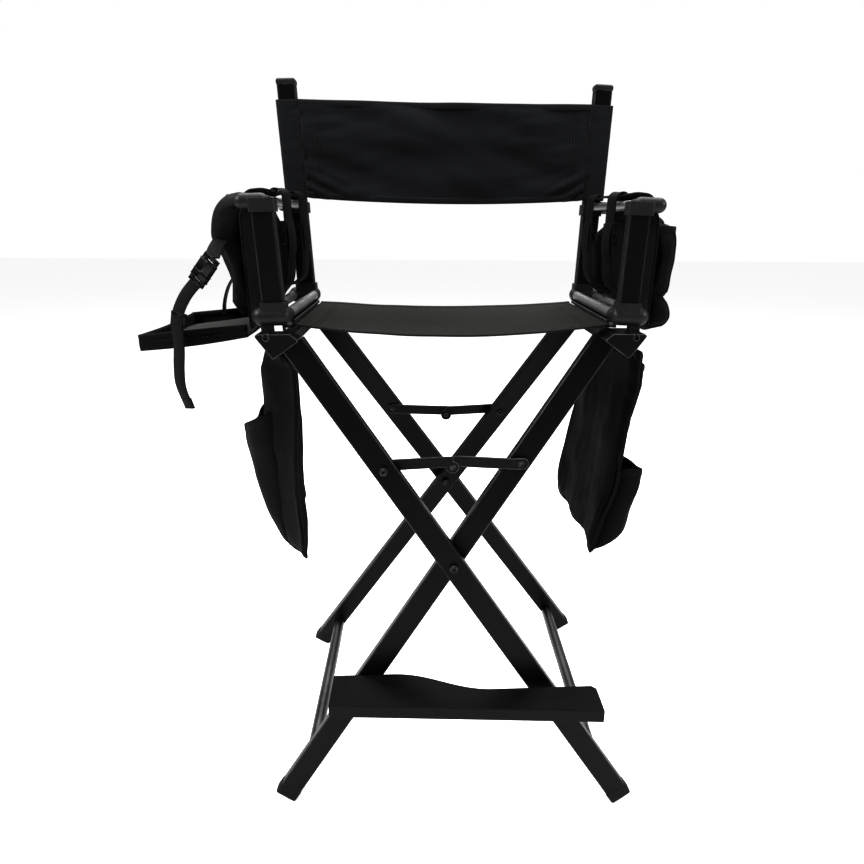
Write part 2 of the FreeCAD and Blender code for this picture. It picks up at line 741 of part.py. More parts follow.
# distance out and depth range of the cloth panels
SIDE = 300
PANEL = (-118, 118)
panel_outline = [(-SIDE - 1.5, 985), (-SIDE + 1.5, 985), (-SIDE + 1.5, 792), (-SIDE - 1.5, 792)]
flap_outline = [(-SIDE - 1.5, 985), (-SIDE - 1.5, 982), (-264, 982), (-264, 985)]
side_panel = fuse([shell(panel_outline, *PANEL), shell(flap_outline, -92, 92)])
node("left_side_panel", [side_panel])
node("right_side_panel", [mirrored(side_panel, X_AXIS)])

# straps that loop over the inner arm tube, each with a flat clip, and links to the bag below
hanger_path = [(-262, 986), (-250, 986), (-247, 976), (-246, 872), (-258, 838), (-296, 830)]
link_path = [(-294, 800), (-294, 750)]
hangers = []
for depth in (-58, 78):
    clip = box("5", "28", "34", Vector(-247, depth, 925))
    hangers.append(fuse([strap(hanger_path, depth), clip]))
    hangers.append(strap(link_path, depth))
node("left_hangers", hangers)
node("right_hangers", [mirrored(piece, X_AXIS) for piece in hangers])

# left: a round-topped pouch and a fold-out tray held by two buckled straps
pouch = [(-303, 980), (-336, 977), (-360, 948), (-357, 908), (-340, 868), (-338, 800), (-303, 796)]
node("left_pouch", [shell(pouch, -106, 70)])

tray_inner, tray_outer = -304, -462
tray_parts = [shell([(tray_inner, 786), (tray_inner, 783), (tray_outer, 762), (tray_outer, 765)],
                    -128, PANEL[1])]
for rim_front in (-128, PANEL[1] - 3):
    rim = [(tray_inner, 805), (tray_inner, 783), (tray_outer, 762), (tray_outer, 787)]
    tray_parts.append(shell(rim, rim_front, rim_front + 3))
end_rim = [(tray_outer + 3, 787), (tray_outer, 787), (tray_outer, 762), (tray_outer + 3, 762.4)]
tray_parts.append(shell(end_rim, -128, PANEL[1]))
node("left_tray", [fuse(tray_parts)])

FRONT_STRAP, REAR_STRAP = -141, 102
upper_path = [(-304, 972), (-318, 934), (-345, 890)]
front_end = [(-374, 851), (-396, 826), (-400, 800), (-400, 669)]
rear_end = [(-374, 851), (-396, 816), (-402, 780)]
node("left_tray_straps", [strap(upper_path, FRONT_STRAP), strap(upper_path, REAR_STRAP)])
node("left_strap_ends", [strap(front_end, FRONT_STRAP), strap(rear_end, REAR_STRAP)])
sockets, plugs = [], []
for depth in (FRONT_STRAP, REAR_STRAP):
    buckle_turn = Rotation(Y_AXIS, 38)
    for at, made in ((Vector(-349, depth, 880), sockets), (Vector(-364, depth, 861), plugs)):
        block = box("8", "30", "20")
        made.append(placed(block, Placement(at, buckle_turn)))
node("left_buckle_sockets", sockets)
node("left_buckle_plugs", plugs)

# right: two stacked round pockets
upper_pocket = [(303, 952), (330, 950), (347, 934), (351, 836), (340, 830), (303, 830)]
lower_pocket = [(303, 826), (344, 826), (355, 820), (357, 796), (338, 780), (303, 780)]
node("right_pocket_upper", [shell(upper_pocket, -104, 44)])
node("right_pocket_lower", [shell(lower_pocket, -108, 60)])

# long bags that hang below the arms, each with a flared pocket near the bottom
left_bag = [(-272, 748), (-300, 748), (-306, 640), (-343, 602), (-334, 520), (-300, 410),
            (-256, 404), (-252, 640), (-268, 736)]
right_bag = [(272, 748), (300, 748), (298, 600), (322, 556), (316, 492), (302, 420), (246, 402),
             (233, 430), (250, 600), (268, 736)]
node("left_long_bag", [shell(left_bag, *PANEL)])
node("right_long_bag", [shell(right_bag, *PANEL)])

# ---------------------------------------------------------------- checks and files

doc.recompute()
for feature in doc.Objects:
    if "Invalid" in feature.State or "Error" in feature.State:
        raise RuntimeError(f"{feature.Label} failed: {feature.State}")
os.makedirs("parts", exist_ok=True)
for label, feature in nodes.items():
    if feature.Shape.isNull() or not feature.Shape.isValid() or not feature.Shape.Solids:
        raise RuntimeError(f"{label} has no valid solid")
for label, feature in nodes.items():
    feature.Shape.exportStep(f"parts/{label}.step")
print(len(nodes), "sub-parts written")
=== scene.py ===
"""Looks for the tall folding director's chair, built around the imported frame.

The frame is in metres. The mesh helpers take millimetres and convert once, as a mesh is made.
"""
import json
import math

import bmesh
import bpy
from mathutils import Matrix, Vector, noise
from mathutils.bvhtree import BVHTree


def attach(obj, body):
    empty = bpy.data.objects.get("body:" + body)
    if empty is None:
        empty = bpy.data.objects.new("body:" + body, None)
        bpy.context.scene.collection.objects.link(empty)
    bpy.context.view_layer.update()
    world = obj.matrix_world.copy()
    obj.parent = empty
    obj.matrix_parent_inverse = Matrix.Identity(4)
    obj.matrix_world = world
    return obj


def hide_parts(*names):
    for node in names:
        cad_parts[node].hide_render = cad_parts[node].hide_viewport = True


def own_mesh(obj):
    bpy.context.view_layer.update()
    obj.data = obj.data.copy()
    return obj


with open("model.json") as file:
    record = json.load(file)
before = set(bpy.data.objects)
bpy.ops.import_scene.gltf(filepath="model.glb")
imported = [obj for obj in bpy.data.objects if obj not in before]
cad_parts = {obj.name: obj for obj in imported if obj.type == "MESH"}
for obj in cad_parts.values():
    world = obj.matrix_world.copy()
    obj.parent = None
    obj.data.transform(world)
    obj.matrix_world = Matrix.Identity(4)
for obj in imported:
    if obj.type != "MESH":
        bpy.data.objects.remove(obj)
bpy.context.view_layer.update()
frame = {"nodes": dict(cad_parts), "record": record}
scene = bpy.context.scene
MM = 0.001

# ---------- shader helpers


class Shader:
    """A node material built step by step."""

    def __init__(self, name):
        self.material = bpy.data.materials.new(name)
        self.material.use_nodes = True
        self.tree = self.material.node_tree
        self.surface = self.tree.nodes["Principled BSDF"]
        coordinates = self.add("ShaderNodeTexCoord")
        self.place = coordinates.outputs["Object"]
        self.cloth = coordinates.outputs["UV"]

    def add(self, kind, **values):
        made = self.tree.nodes.new(kind)
        for key, value in values.items():
            if key in made.inputs:
                made.inputs[key].default_value = value
            else:
                setattr(made, key, value)
        return made

    def link(self, source, target):
        self.tree.links.new(source, target)

    def stretched(self, source, scale=(1, 1, 1), turn=(0, 0, 0)):
        mapping = self.add("ShaderNodeMapping", Scale=scale, Rotation=turn)
        self.link(source, mapping.inputs["Vector"])
        return mapping.outputs["Vector"]

    def noise(self, source, scale, detail=4.0, roughness=0.55):
        made = self.add("ShaderNodeTexNoise", Scale=scale, Detail=detail, Roughness=roughness)
        self.link(source, made.inputs["Vector"])
        return made.outputs["Fac"]

    def wave(self, source, scale, direction, distortion=0.0):
        made = self.add("ShaderNodeTexWave", Scale=scale, Distortion=distortion)
        made.bands_direction = direction
        self.link(source, made.inputs["Vector"])
        return made.outputs["Fac"]

    def math(self, operation, first, second):
        made = self.add("ShaderNodeMath", operation=operation)
        for socket, value in zip(made.inputs, (first, second)):
            if isinstance(value, (int, float)):
                socket.default_value = value
            else:
                self.link(value, socket)
        return made.outputs["Value"]

    def ramp(self, factor, low, high, start=0.3, end=0.7):
        made = self.add("ShaderNodeValToRGB")
        made.color_ramp.elements[0].position = start
        made.color_ramp.elements[1].position = end
        made.color_ramp.elements[0].color = (*low, 1)
        made.color_ramp.elements[1].color = (*high, 1)
        self.link(factor, made.inputs["Fac"])
        return made.outputs["Color"]

    def spread(self, factor, low, high, start=0.0, end=1.0):
        """A value from low to high as the factor goes from start to end."""
        made = self.add("ShaderNodeMapRange")
        limits = {"From Min": start, "From Max": end, "To Min": low, "To Max": high}
        for key, value in limits.items():
            made.inputs[key].default_value = value
        self.link(factor, made.inputs["Value"])
        return made.outputs["Result"]

    def mix(self, factor, first, second):
        made = self.add("ShaderNodeMix", data_type="RGBA")
        self.link(factor, made.inputs["Factor"])
        self.link(first, made.inputs["A"])
        self.link(second, made.inputs["B"])
        return made.outputs["Result"]

    # edge mask for the painted edge highlight, which also stands for wear
    def edge_highlight_and_wear(self, width):
        """1 along convex edges, 0 on flats, from the difference of bevelled and true normals."""
        bevel = self.add("ShaderNodeBevel", samples=6, Radius=width)
        geometry = self.add("ShaderNodeNewGeometry")
        dot = self.add("ShaderNodeVectorMath", operation="DOT_PRODUCT")
        self.link(bevel.outputs["Normal"], dot.inputs[0])
        self.link(geometry.outputs["Normal"], dot.inputs[1])
        bent = self.math("SUBTRACT", 1.0, dot.outputs["Value"])
        return self.spread(bent, 0.0, 1.0, start=0.002, end=0.03)

    def relief(self, height, strength, distance, bevel=0.0):
        """Bump from a height, over edges that look rounded by bevel metres."""
        bump = self.add("ShaderNodeBump", Strength=strength, Distance=distance)
        self.link(height, bump.inputs["Height"])
        if bevel:
            rounded = self.add("ShaderNodeBevel", samples=6, Radius=bevel)
            self.link(rounded.outputs["Normal"], bump.inputs["Normal"])
        self.link(bump.outputs["Normal"], self.surface.inputs["Normal"])

    def set(self, **values):
        for key, value in values.items():
            socket = self.surface.inputs[key.replace("_", " ")]
            if isinstance(value, (int, float, tuple)):
                socket.default_value = value
            else:
                self.link(value, socket)
        return self.material


# ---------- materials


def powder_coat():
    """Black satin coat with a fine orange-peel relief and paler edges: a painted highlight along
    the rounded edges, broken up by noise so that it also stands for wear.
    """
    s = Shader("powder_coat")
    peel = s.noise(s.place, 900, 2)
    cloudy = s.noise(s.place, 14, 3)
    base = s.ramp(cloudy, (0.0032, 0.0034, 0.0038), (0.0055, 0.0058, 0.0064))
    # pale edge colour: a painted highlight along the edges, partly wear
    rubbed_and_highlight = s.ramp(s.noise(s.place, 60, 4), (0.16, 0.16, 0.165), (0.42, 0.42, 0.43))
    highlight_and_wear_mask = s.math("MULTIPLY", s.edge_highlight_and_wear(0.0019), s.spread(s.noise(s.place, 35, 5), 0.3, 1.0))
    s.relief(peel, 0.12, 0.0004, bevel=0.0014)
    return s.set(Base_Color=s.mix(highlight_and_wear_mask, base, rubbed_and_highlight), Roughness=s.spread(cloudy, 0.28, 0.4),
                 Specular_IOR_Level=0.3)


def anodised(name, low, high):
    """Anodised tube with faint draw lines along its length."""
    s = Shader(name)
    drawn = s.noise(s.stretched(s.place, (900, 14, 900)), 1.0, 3)
    smudge = s.noise(s.place, 22, 3)
    color = s.ramp(smudge, (low, low, low * 1.01), (high, high, high * 1.01))
    s.relief(drawn, 0.08, 0.0002)
    return s.set(Base_Color=color, Metallic=1.0, Roughness=s.spread(drawn, 0.3, 0.46))


def moulding():
    """Satin moulded plastic with a fine spark-eroded grain."""
    s = Shader("moulding")
    grain = s.noise(s.place, 1600, 2)
    soft = s.noise(s.place, 30, 3)
    color = s.ramp(soft, (0.013, 0.013, 0.0135), (0.021, 0.021, 0.022))
    s.relief(grain, 0.25, 0.0003, bevel=0.0012)
    return s.set(Base_Color=color, Roughness=s.spread(soft, 0.4, 0.55))


def steel():
    """Blackened steel of the screw heads, brighter where tools rub."""
    s = Shader("blackened_steel")
    scuffed = s.noise(s.place, 240, 5)
    color = s.ramp(scuffed, (0.035, 0.035, 0.037), (0.16, 0.16, 0.165), 0.45, 0.75)
    s.relief(scuffed, 0.15, 0.0003, bevel=0.0005)
    return s.set(Base_Color=color, Metallic=0.85, Roughness=s.spread(scuffed, 0.3, 0.5))


def rubber():
    """Dull rubber of the foot caps, dusty towards the floor."""
    s = Shader("foot_rubber")
    grain = s.noise(s.place, 700, 3)
    dust = s.ramp(s.noise(s.place, 45, 5), (0.008, 0.008, 0.008), (0.022, 0.021, 0.02), 0.4, 0.8)
    s.relief(grain, 0.3, 0.0004, bevel=0.0015)
    return s.set(Base_Color=dust, Roughness=s.spread(grain, 0.65, 0.85))


def board():
    """Black textured board of the footrest with scuffs along its top."""
    s = Shader("board_black")
    pebbles = s.add("ShaderNodeTexVoronoi", Scale=650.0)
    s.link(s.place, pebbles.inputs["Vector"])
    scuffs = s.noise(s.stretched(s.place, (8, 90, 60)), 1.0, 5)
    color = s.ramp(scuffs, (0.003, 0.003, 0.0034), (0.008, 0.008, 0.009), 0.45, 0.75)
    s.relief(pebbles.outputs["Distance"], 0.2, 0.0004, bevel=0.002)
    return s.set(Base_Color=color, Roughness=s.spread(scuffs, 0.42, 0.6), Specular_IOR_Level=0.3)


def bands(pitch):
    """The wave texture's scale for bands that far apart, in metres."""
    return math.pi / 10 / pitch


def woven(name, dark, light, thread, sheen):
    """Plain-weave cloth: crossing threads in relief, slubs and slight fading."""
    s = Shader(name)
    warp, weft = (s.wave(s.cloth, bands(thread), way, 0.15) for way in "XY")
    cross = s.math("MULTIPLY", warp, weft)
    fuzz = s.noise(s.place, 1400, 2)
    weave = s.math("ADD", cross, s.math("MULTIPLY", fuzz, 0.35))
    faded = s.noise(s.place, 9, 4)
    slubs = s.noise(s.stretched(s.cloth, (60, 840, 1)), 1.0, 3)
    tone = s.math("ADD", s.math("MULTIPLY", faded, 0.6), s.math("MULTIPLY", slubs, 0.4))
    s.relief(weave, 0.5, 0.00035)
    return s.set(Base_Color=s.ramp(tone, dark, light, 0.35, 0.65),
                 Roughness=s.spread(faded, 0.72, 0.9), Sheen_Weight=sheen, Sheen_Roughness=0.45,
                 Specular_IOR_Level=0.3)


def coated_nylon():
    """Coarse coated bag cloth, with the weave from the piece's own place so a remesh keeps it."""
    s = Shader("bag_cloth")
    turned = s.stretched(s.place, turn=(0.5, 0.6, 0.35))
    threads = s.math("MULTIPLY", s.wave(turned, 420, "X"), s.wave(turned, 420, "Y"))
    creases = s.noise(s.place, 34, 6, 0.6)
    height = s.math("ADD", threads, s.math("MULTIPLY", creases, 2.5))
    cloudy = s.noise(s.place, 12, 4)
    s.relief(height, 0.35, 0.0006)
    return s.set(Base_Color=s.ramp(cloudy, (0.003, 0.0029, 0.0036), (0.006, 0.0059, 0.007)),
                 Roughness=s.spread(creases, 0.55, 0.8), Sheen_Weight=0.03,
                 Sheen_Roughness=0.5, Specular_IOR_Level=0.18)


def webbing():
    """Ribbed webbing: rows of floats across the strap."""
    s = Shader("webbing")
    rib_pitch = 0.0016
    ribs, edge = (s.wave(s.cloth, bands(rib_pitch), way) for way in "YX")
    height = s.math("ADD", ribs, s.math("MULTIPLY", edge, 0.4))
    tone = s.noise(s.place, 120, 3)
    s.relief(height, 0.6, 0.0004)
    return s.set(Base_Color=s.ramp(tone, (0.0036, 0.0036, 0.0041), (0.0075, 0.0075, 0.0083)),
                 Roughness=0.68, Sheen_Weight=0.04, Specular_IOR_Level=0.2)


def thread():
    """Dark polyester sewing thread."""
    s = Shader("sewing_thread")
    twist = s.wave(s.place, 2200, "DIAGONAL")
    s.relief(twist, 0.4, 0.0001)
    return s.set(Base_Color=s.ramp(twist, (0.016, 0.016, 0.017), (0.035, 0.035, 0.037)),
                 Roughness=0.5)


COAT, PLASTIC, STEEL = powder_coat(), moulding(), steel()
SILVER = anodised("anodised", 0.55, 0.72)
DULL_SILVER = anodised("dull_anodised", 0.12, 0.2)
RUBBER, BOARD, NYLON, WEBBING, THREAD = rubber(), board(), coated_nylon(), webbing(), thread()
CANVAS_THREAD, LINING_THREAD = 0.0011, 0.0008
SEAT_CLOTH = woven("seat_canvas_cloth", (0.0105, 0.0105, 0.0085), (0.0155, 0.0155, 0.013),
                   CANVAS_THREAD, 0.06)
BACK_CLOTH = woven("back_canvas_cloth", (0.0105, 0.0114, 0.0134), (0.0175, 0.0188, 0.022),
                   CANVAS_THREAD, 0.05)
LINING = woven("tray_lining_cloth", (0.024, 0.024, 0.022), (0.036, 0.036, 0.033),
               LINING_THREAD, 0.15)

SLOT_FINISH = {
    "black_powder_coat": COAT, "silver_anodised": SILVER, "black_moulding": PLASTIC,
    "steel_fastener": STEEL, "rubber_foot": RUBBER, "board_black": BOARD,
    "seat_fabric": SEAT_CLOTH, "back_fabric": BACK_CLOTH, "bag_fabric": NYLON,
    "webbing": WEBBING,
}
for row in frame["record"]["subparts"]:
    part = frame["nodes"][row["node"]]
    part.data.materials.clear()
    is_low_rail = row["node"].startswith("lower_rail")
    part.data.materials.append(DULL_SILVER if is_low_rail else SLOT_FINISH[row["material_slot"]])
    if row["node"].startswith("post_cap"):
        soft = part.modifiers.new("rounded corners", "BEVEL")
        soft.width, soft.segments, soft.angle_limit = 4 * MM, 4, math.radians(50)

# ---------- light, floor and camera


FLOOR_GLOW = 0.72  # seen by the camera only, so that the floor stays pale to the horizon
WORLD_LIGHT, WORLD_SEEN = 0.24, 1.0  # the world as a light, and as the camera sees it
AIM = Vector((0, 0, 0.6))
LAMPS = (("key", (-2.3, -0.9, 2.5), 80, 0.9), ("side", (2.4, -0.9, 1.9), 40, 0.8),
         ("top", (0.1, 0.9, 3.2), 150, 3.0))  # name, place, watts, size


def stage():
    """A plain pale floor, a pale world and three soft lamps."""
    bpy.ops.mesh.primitive_plane_add(size=30)
    floor = bpy.context.object
    floor.name = "floor"
    s = Shader("floor_paint")
    tone = s.ramp(s.noise(s.place, 3, 3), (0.93, 0.93, 0.93), (0.96, 0.96, 0.96))
    rays = s.add("ShaderNodeLightPath").outputs["Is Camera Ray"]
    floor.data.materials.append(s.set(Base_Color=tone, Roughness=0.7, Emission_Color=(1, 1, 1, 1),
                                      Emission_Strength=s.math("MULTIPLY", rays, FLOOR_GLOW)))
    world = bpy.data.worlds.new("studio")
    world.use_nodes = True
    background = world.node_tree.nodes["Background"]
    background.inputs["Color"].default_value = (1, 1, 1, 1)
    rays = world.node_tree.nodes.new("ShaderNodeLightPath")
    level = world.node_tree.nodes.new("ShaderNodeMapRange")
    level.inputs["To Min"].default_value = WORLD_LIGHT
    level.inputs["To Max"].default_value = WORLD_SEEN
    world.node_tree.links.new(rays.outputs["Is Camera Ray"], level.inputs["Value"])
    world.node_tree.links.new(level.outputs["Result"], background.inputs["Strength"])
    scene.world = world
    scene.view_settings.view_transform = "Standard"
    scene.view_settings.gamma = 0.7
    for name, at, power, wide in LAMPS:
        lamp = bpy.data.lights.new(name, "AREA")
        lamp.energy, lamp.size = power, wide
        holder = bpy.data.objects.new(name, lamp)
        holder.location = at
        holder.rotation_euler = (AIM - Vector(at)).to_track_quat("-Z", "Y").to_euler()
        scene.collection.objects.link(holder)


def camera():
    """Stands in front at arm height and looks slightly down."""
    at = Vector((-0.046, -1.116, 0.948))
    yaw, pitch, roll = 0.059, 0.322, 0.009
    forward = Vector((math.sin(yaw) * math.cos(pitch), math.cos(yaw) * math.cos(pitch),
                      -math.sin(pitch)))
    level = Vector((math.cos(yaw), -math.sin(yaw), 0))
    upright = level.cross(forward)
    right = math.cos(roll) * level + math.sin(roll) * upright
    upright = right.cross(forward)
    lens = bpy.data.cameras.new("camera")
    lens.sensor_width = 36
    lens.lens = 27.42
    lens.shift_x, lens.shift_y = -0.0325, 0.0065
    lens.clip_start = 0.02
    holder = bpy.data.objects.new("camera", lens)
    turn = Matrix((right, upright, -forward)).transposed()
    holder.matrix_world = Matrix.Translation(at) @ turn.to_4x4()
    scene.collection.objects.link(holder)
    scene.camera = holder


stage()
camera()

# ---------- mesh helpers, in millimetres

HINGE = Vector((270, 0, 782.5))  # the right arm's hinge on its leg frame
SPLAY = math.radians(2.1)  # how far the arm frames lean outwards
NAMES = {-1: "left", 1: "right"}  # by the sign of x


def splayed(out, height, side=-1):
    """x and z of an arm frame's point, from its distance out and height before the splay."""
    dx, dz = out - HINGE.x, height - HINGE.z
    return (side * (HINGE.x + dx * math.cos(SPLAY) + dz * math.sin(SPLAY)),
            HINGE.z + dz * math.cos(SPLAY) - dx * math.sin(SPLAY))


def ease(value):
    """A smooth step from 0 to 1."""
    value = min(max(value, 0.0), 1.0)
    return value * value * (3 - 2 * value)


def lerp(first, second, share):
    return first + (second - first) * share


def squared(value, power):
    """value raised to a power below 1 with its sign kept, which squares off a round section."""
    return math.copysign(abs(value) ** power, value)


def wobble(point, spacing, seed=0.0):
    """Smooth noise from -1 to 1 at a point in mm, with that spacing between its bumps."""
    return noise.noise(Vector(point) / spacing + Vector((seed, seed * 0.7, -seed)))


def turned_out(piece, weld=0.0):
    """Faces turned outwards, after a weld in mm and a fill of the holes where weld isn't 0."""
    shape = bmesh.new()
    shape.from_mesh(piece.data)
    if weld:
        bmesh.ops.remove_doubles(shape, verts=shape.verts, dist=weld * MM)
        bmesh.ops.holes_fill(shape, edges=shape.edges)
    bmesh.ops.recalc_face_normals(shape, faces=shape.faces)
    shape.to_mesh(piece.data)
    shape.free()
    return piece


def made(name, points, faces, material, cloth=None):
    """An object from points in mm; cloth holds (u, v) in metres for each point."""
    mesh = bpy.data.meshes.new(name)
    mesh.from_pydata([Vector(point) * MM for point in points], [], faces)
    if cloth:
        layer = mesh.uv_layers.new(name="UVMap")
        for loop in mesh.loops:
            layer.data[loop.index].uv = cloth[loop.vertex_index]
    mesh.materials.append(material)
    mesh.shade_smooth()
    mesh.update()
    piece = bpy.data.objects.new(name, mesh)
    scene.collection.objects.link(piece)
    return piece


def apply_modifiers(piece):
    """Keeps the mesh that the modifiers make."""
    graph = bpy.context.evaluated_depsgraph_get()
    mesh = bpy.data.meshes.new_from_object(piece.evaluated_get(graph))
    piece.modifiers.clear()
    piece.data = mesh
    return piece


def ring_faces(rings, ring, closed=False, first=0):
    """Quads between rings of points, with the last ring joined to the first when closed."""
    faces = []
    for index in range(rings if closed else rings - 1):
        for k in range(ring):
            a, b = index * ring + k, index * ring + (k + 1) % ring
            faces.append([first + point % (rings * ring)
                          for point in (a, b, b + ring, a + ring)])
    return faces


def sheet(name, place, columns, rows, size, material, thick=1.6):
    """Cloth through place(u, v), u and v from 0 to 1; size is its width and height, in mm."""
    points, cloth = [], []
    for row in range(rows + 1):
        for column in range(columns + 1):
            u, v = column / columns, row / rows
            points.append(place(u, v))
            cloth.append((u * size[0] * MM, v * size[1] * MM))
    faces = []
    wide = columns + 1
    for row in range(rows):
        for column in range(columns):
            first = row * wide + column
            faces.append((first, first + 1, first + wide + 1, first + wide))
    piece = made(name, points, faces, material, cloth)
    solidify = piece.modifiers.new("thickness", "SOLIDIFY")
    solidify.thickness = thick * MM
    solidify.offset = 0
    return apply_modifiers(piece)


def smooth_path(points, steps=8, closed=False):
    """A Catmull-Rom curve through the points."""
    points = [Vector(point) for point in points]
    count = len(points)
    spans = count if closed else count - 1
    curve = []
    for index in range(spans):
        around = range(index - 1, index + 3)
        before, start, end, after = (
            points[k % count if closed else min(max(k, 0), count - 1)] for k in around)
        for step in range(steps):
            t = step / steps
            curve.append(0.5 * (2 * start + (end - before) * t
                                + (2 * before - 5 * start + 4 * end - after) * t ** 2
                                + (3 * start - before - 3 * end + after) * t ** 3))
    return curve if closed else curve + [points[-1]]


def swept(name, path, across, section, material, closed=False):
    """A section of (across, out) offsets in mm carried along a path."""
    points, cloth = [], []
    count, ring = len(path), len(section)
    travelled = 0.0
    for index, point in enumerate(path):
        before = path[index - 1] if closed or index else path[0]
        after = path[(index + 1) % count] if closed or index < count - 1 else path[-1]
        along = (after - before).normalized()
        side = Vector(across)
        side = (side - along * side.dot(along)).normalized()
        out = side.cross(along)
        travelled += (point - path[max(index - 1, 0)]).length
        for wide, high in section:
            points.append(point + side * wide + out * high)
            cloth.append(((wide + high) * MM, travelled * MM))
    faces = ring_faces(count, ring, closed)
    if not closed:
        faces.append(tuple(reversed(range(ring))))
        faces.append(tuple(range((count - 1) * ring, count * ring)))
    return turned_out(made(name, points, faces, material, cloth))


def strap_section(width, thick):
    """A flat strap's section with rounded selvedges."""
    half, edge = width / 2, thick / 2
    return [(-half, -edge * 0.4), (-half + edge, -edge), (half - edge, -edge), (half, -edge * 0.4),
            (half, edge * 0.4), (half - edge, edge), (-half + edge, edge), (-half, edge * 0.4)]


def round_section(radius, corners=8):
    turn = 2 * math.pi / corners
    return [(radius * math.cos(turn * k), radius * math.sin(turn * k)) for k in range(corners)]


def strap(name, points, width, thick=1.8, across=(0, 1, 0), steps=8):
    """Flat webbing that follows points."""
    return swept(name, smooth_path(points, steps), across, strap_section(width, thick), WEBBING)


def piping(name, points, radius, across, closed=False, steps=5):
    """A sewn cord along points."""
    return swept(name, smooth_path(points, steps, closed), across, round_section(radius), WEBBING,
                 closed)


def along_row(place, steps, v=1.0):
    """Points along one row of a sheet."""
    return [Vector(place(step / steps, v)) for step in range(steps + 1)]


def along_column(place, steps, u):
    """Points along one column of a sheet."""
    return [Vector(place(u, step / steps)) for step in range(steps + 1)]


def bound(name, path, width, thick):
    """Tape folded over an upright edge of cloth."""
    return swept(name, path, (0, 0, 1), strap_section(width, thick), WEBBING)


STITCH, STITCH_GAP, STITCH_RADIUS = 3.4, 2.2, 0.42


def stitches(path, out):
    """A row of stitches laid along a path, standing out along a direction."""
    points, faces, marks = [], [], []
    out = Vector(out).normalized()
    travelled = 0.0
    for start, end in zip(path, path[1:]):
        leg = (end - start).length
        if leg < 1e-6:
            continue
        along = (end - start) / leg
        at = travelled
        while at < leg:
            marks.append((start + along * at, along))
            at += STITCH + STITCH_GAP
        travelled = at - leg
    for centre, along in marks:
        side = along.cross(out).normalized()
        first = len(points)
        for shift in (-0.5, -0.3, 0.3, 0.5):
            radius = STITCH_RADIUS * (0.25 if abs(shift) > 0.4 else 1.0)
            for across, up in ((1, 0), (0, 1), (-1, 0), (0, -0.6)):
                points.append(centre + along * (shift * STITCH) + side * (across * radius)
                              + out * (up * radius))
        faces += ring_faces(4, 4, first=first)
        faces.append((first + 3, first + 2, first + 1, first))
        faces.append((first + 12, first + 13, first + 14, first + 15))
    return made("stitches", points, faces, THREAD)


def facing(down, across):
    """Turn that lays a block's height along down and its width near across."""
    down = Vector(down).normalized()
    across = Vector(across)
    across = (across - down * across.dot(down)).normalized()
    return Matrix((across.cross(down), across, down)).transposed()


def block(size, at, spin, bevel, material=PLASTIC):
    """A moulded block, thickness by width by height, with rounded edges."""
    mesh = bpy.data.meshes.new("block")
    shape = bmesh.new()
    bmesh.ops.create_cube(shape, size=1)
    for vert in shape.verts:
        scaled = Vector([vert.co[k] * size[k] for k in range(3)])
        vert.co = (spin @ scaled + Vector(at)) * MM
    bmesh.ops.bevel(shape, geom=shape.edges[:], offset=bevel * MM, segments=2, profile=0.6,
                    affect="EDGES")
    shape.to_mesh(mesh)
    shape.free()
    mesh.materials.append(material)
    mesh.shade_smooth()
    piece = bpy.data.objects.new("block", mesh)
    scene.collection.objects.link(piece)
    return piece


def lofted(name, rings, material):
    """A closed soft form through rings of points, all with the same count."""
    ring = len(rings[0])
    points = [point for one in rings for point in one]
    faces = ring_faces(len(rings), ring)
    faces.append(tuple(reversed(range(ring))))
    faces.append(tuple(range(len(points) - ring, len(points))))
    return turned_out(made(name, points, faces, material))


CLOTH_FRAMES = 20


def puffed(piece, voxel, pressure, cap, shrink=-0.02):
    """Remeshes a closed form and swells it as cloth, each point within cap mm of its start."""
    remesh = piece.modifiers.new("voxels", "REMESH")
    remesh.mode = "VOXEL"
    remesh.voxel_size = voxel * MM
    apply_modifiers(piece)
    piece.data.shade_smooth()
    start = [vert.co.copy() for vert in piece.data.vertices]
    cloth = piece.modifiers.new("cloth", "CLOTH")
    settings = cloth.settings
    settings.use_pressure = True
    settings.uniform_pressure_force = pressure
    settings.effector_weights.gravity = 0
    settings.mass = 0.3
    settings.quality = 5
    settings.shrink_min = shrink
    settings.tension_stiffness = 20
    settings.bending_stiffness = 0.3
    cloth.point_cache.frame_end = CLOTH_FRAMES
    for frame_number in range(1, CLOTH_FRAMES + 1):
        scene.frame_set(frame_number)
    graph = bpy.context.evaluated_depsgraph_get()
    swollen = [vert.co.copy() for vert in piece.evaluated_get(graph).data.vertices]
    piece.modifiers.clear()
    scene.frame_set(1)
    for vert, before, after in zip(piece.data.vertices, start, swollen):
        step = after - before
        if step.length > cap * MM:
            step.length = cap * MM
        vert.co = before + step
    finer = piece.modifiers.new("finer", "SUBSURF")
    finer.levels = finer.render_levels = 1
    return apply_modifiers(piece)


def creased(piece, amount, place):
    """Moves every point along its normal by amount mm times place(point in mm)."""
    mesh = piece.data
    moves = [vert.normal * (amount * place(vert.co / MM)) * MM for vert in mesh.vertices]
    for vert, move in zip(mesh.vertices, moves):
        vert.co += move
    mesh.update()
    return piece


def fitted(name, pieces, body, slot, *nodes):
    """Joins pieces into one that rides a body and stands for CAD nodes; slot is not used."""
    with bpy.context.temp_override(active_object=pieces[0], selected_editable_objects=pieces):
        bpy.ops.object.join()
    pieces[0].name = name
    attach(pieces[0], body)
    if nodes:
        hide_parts(*nodes)
    return pieces[0]


# ---------- brace studs


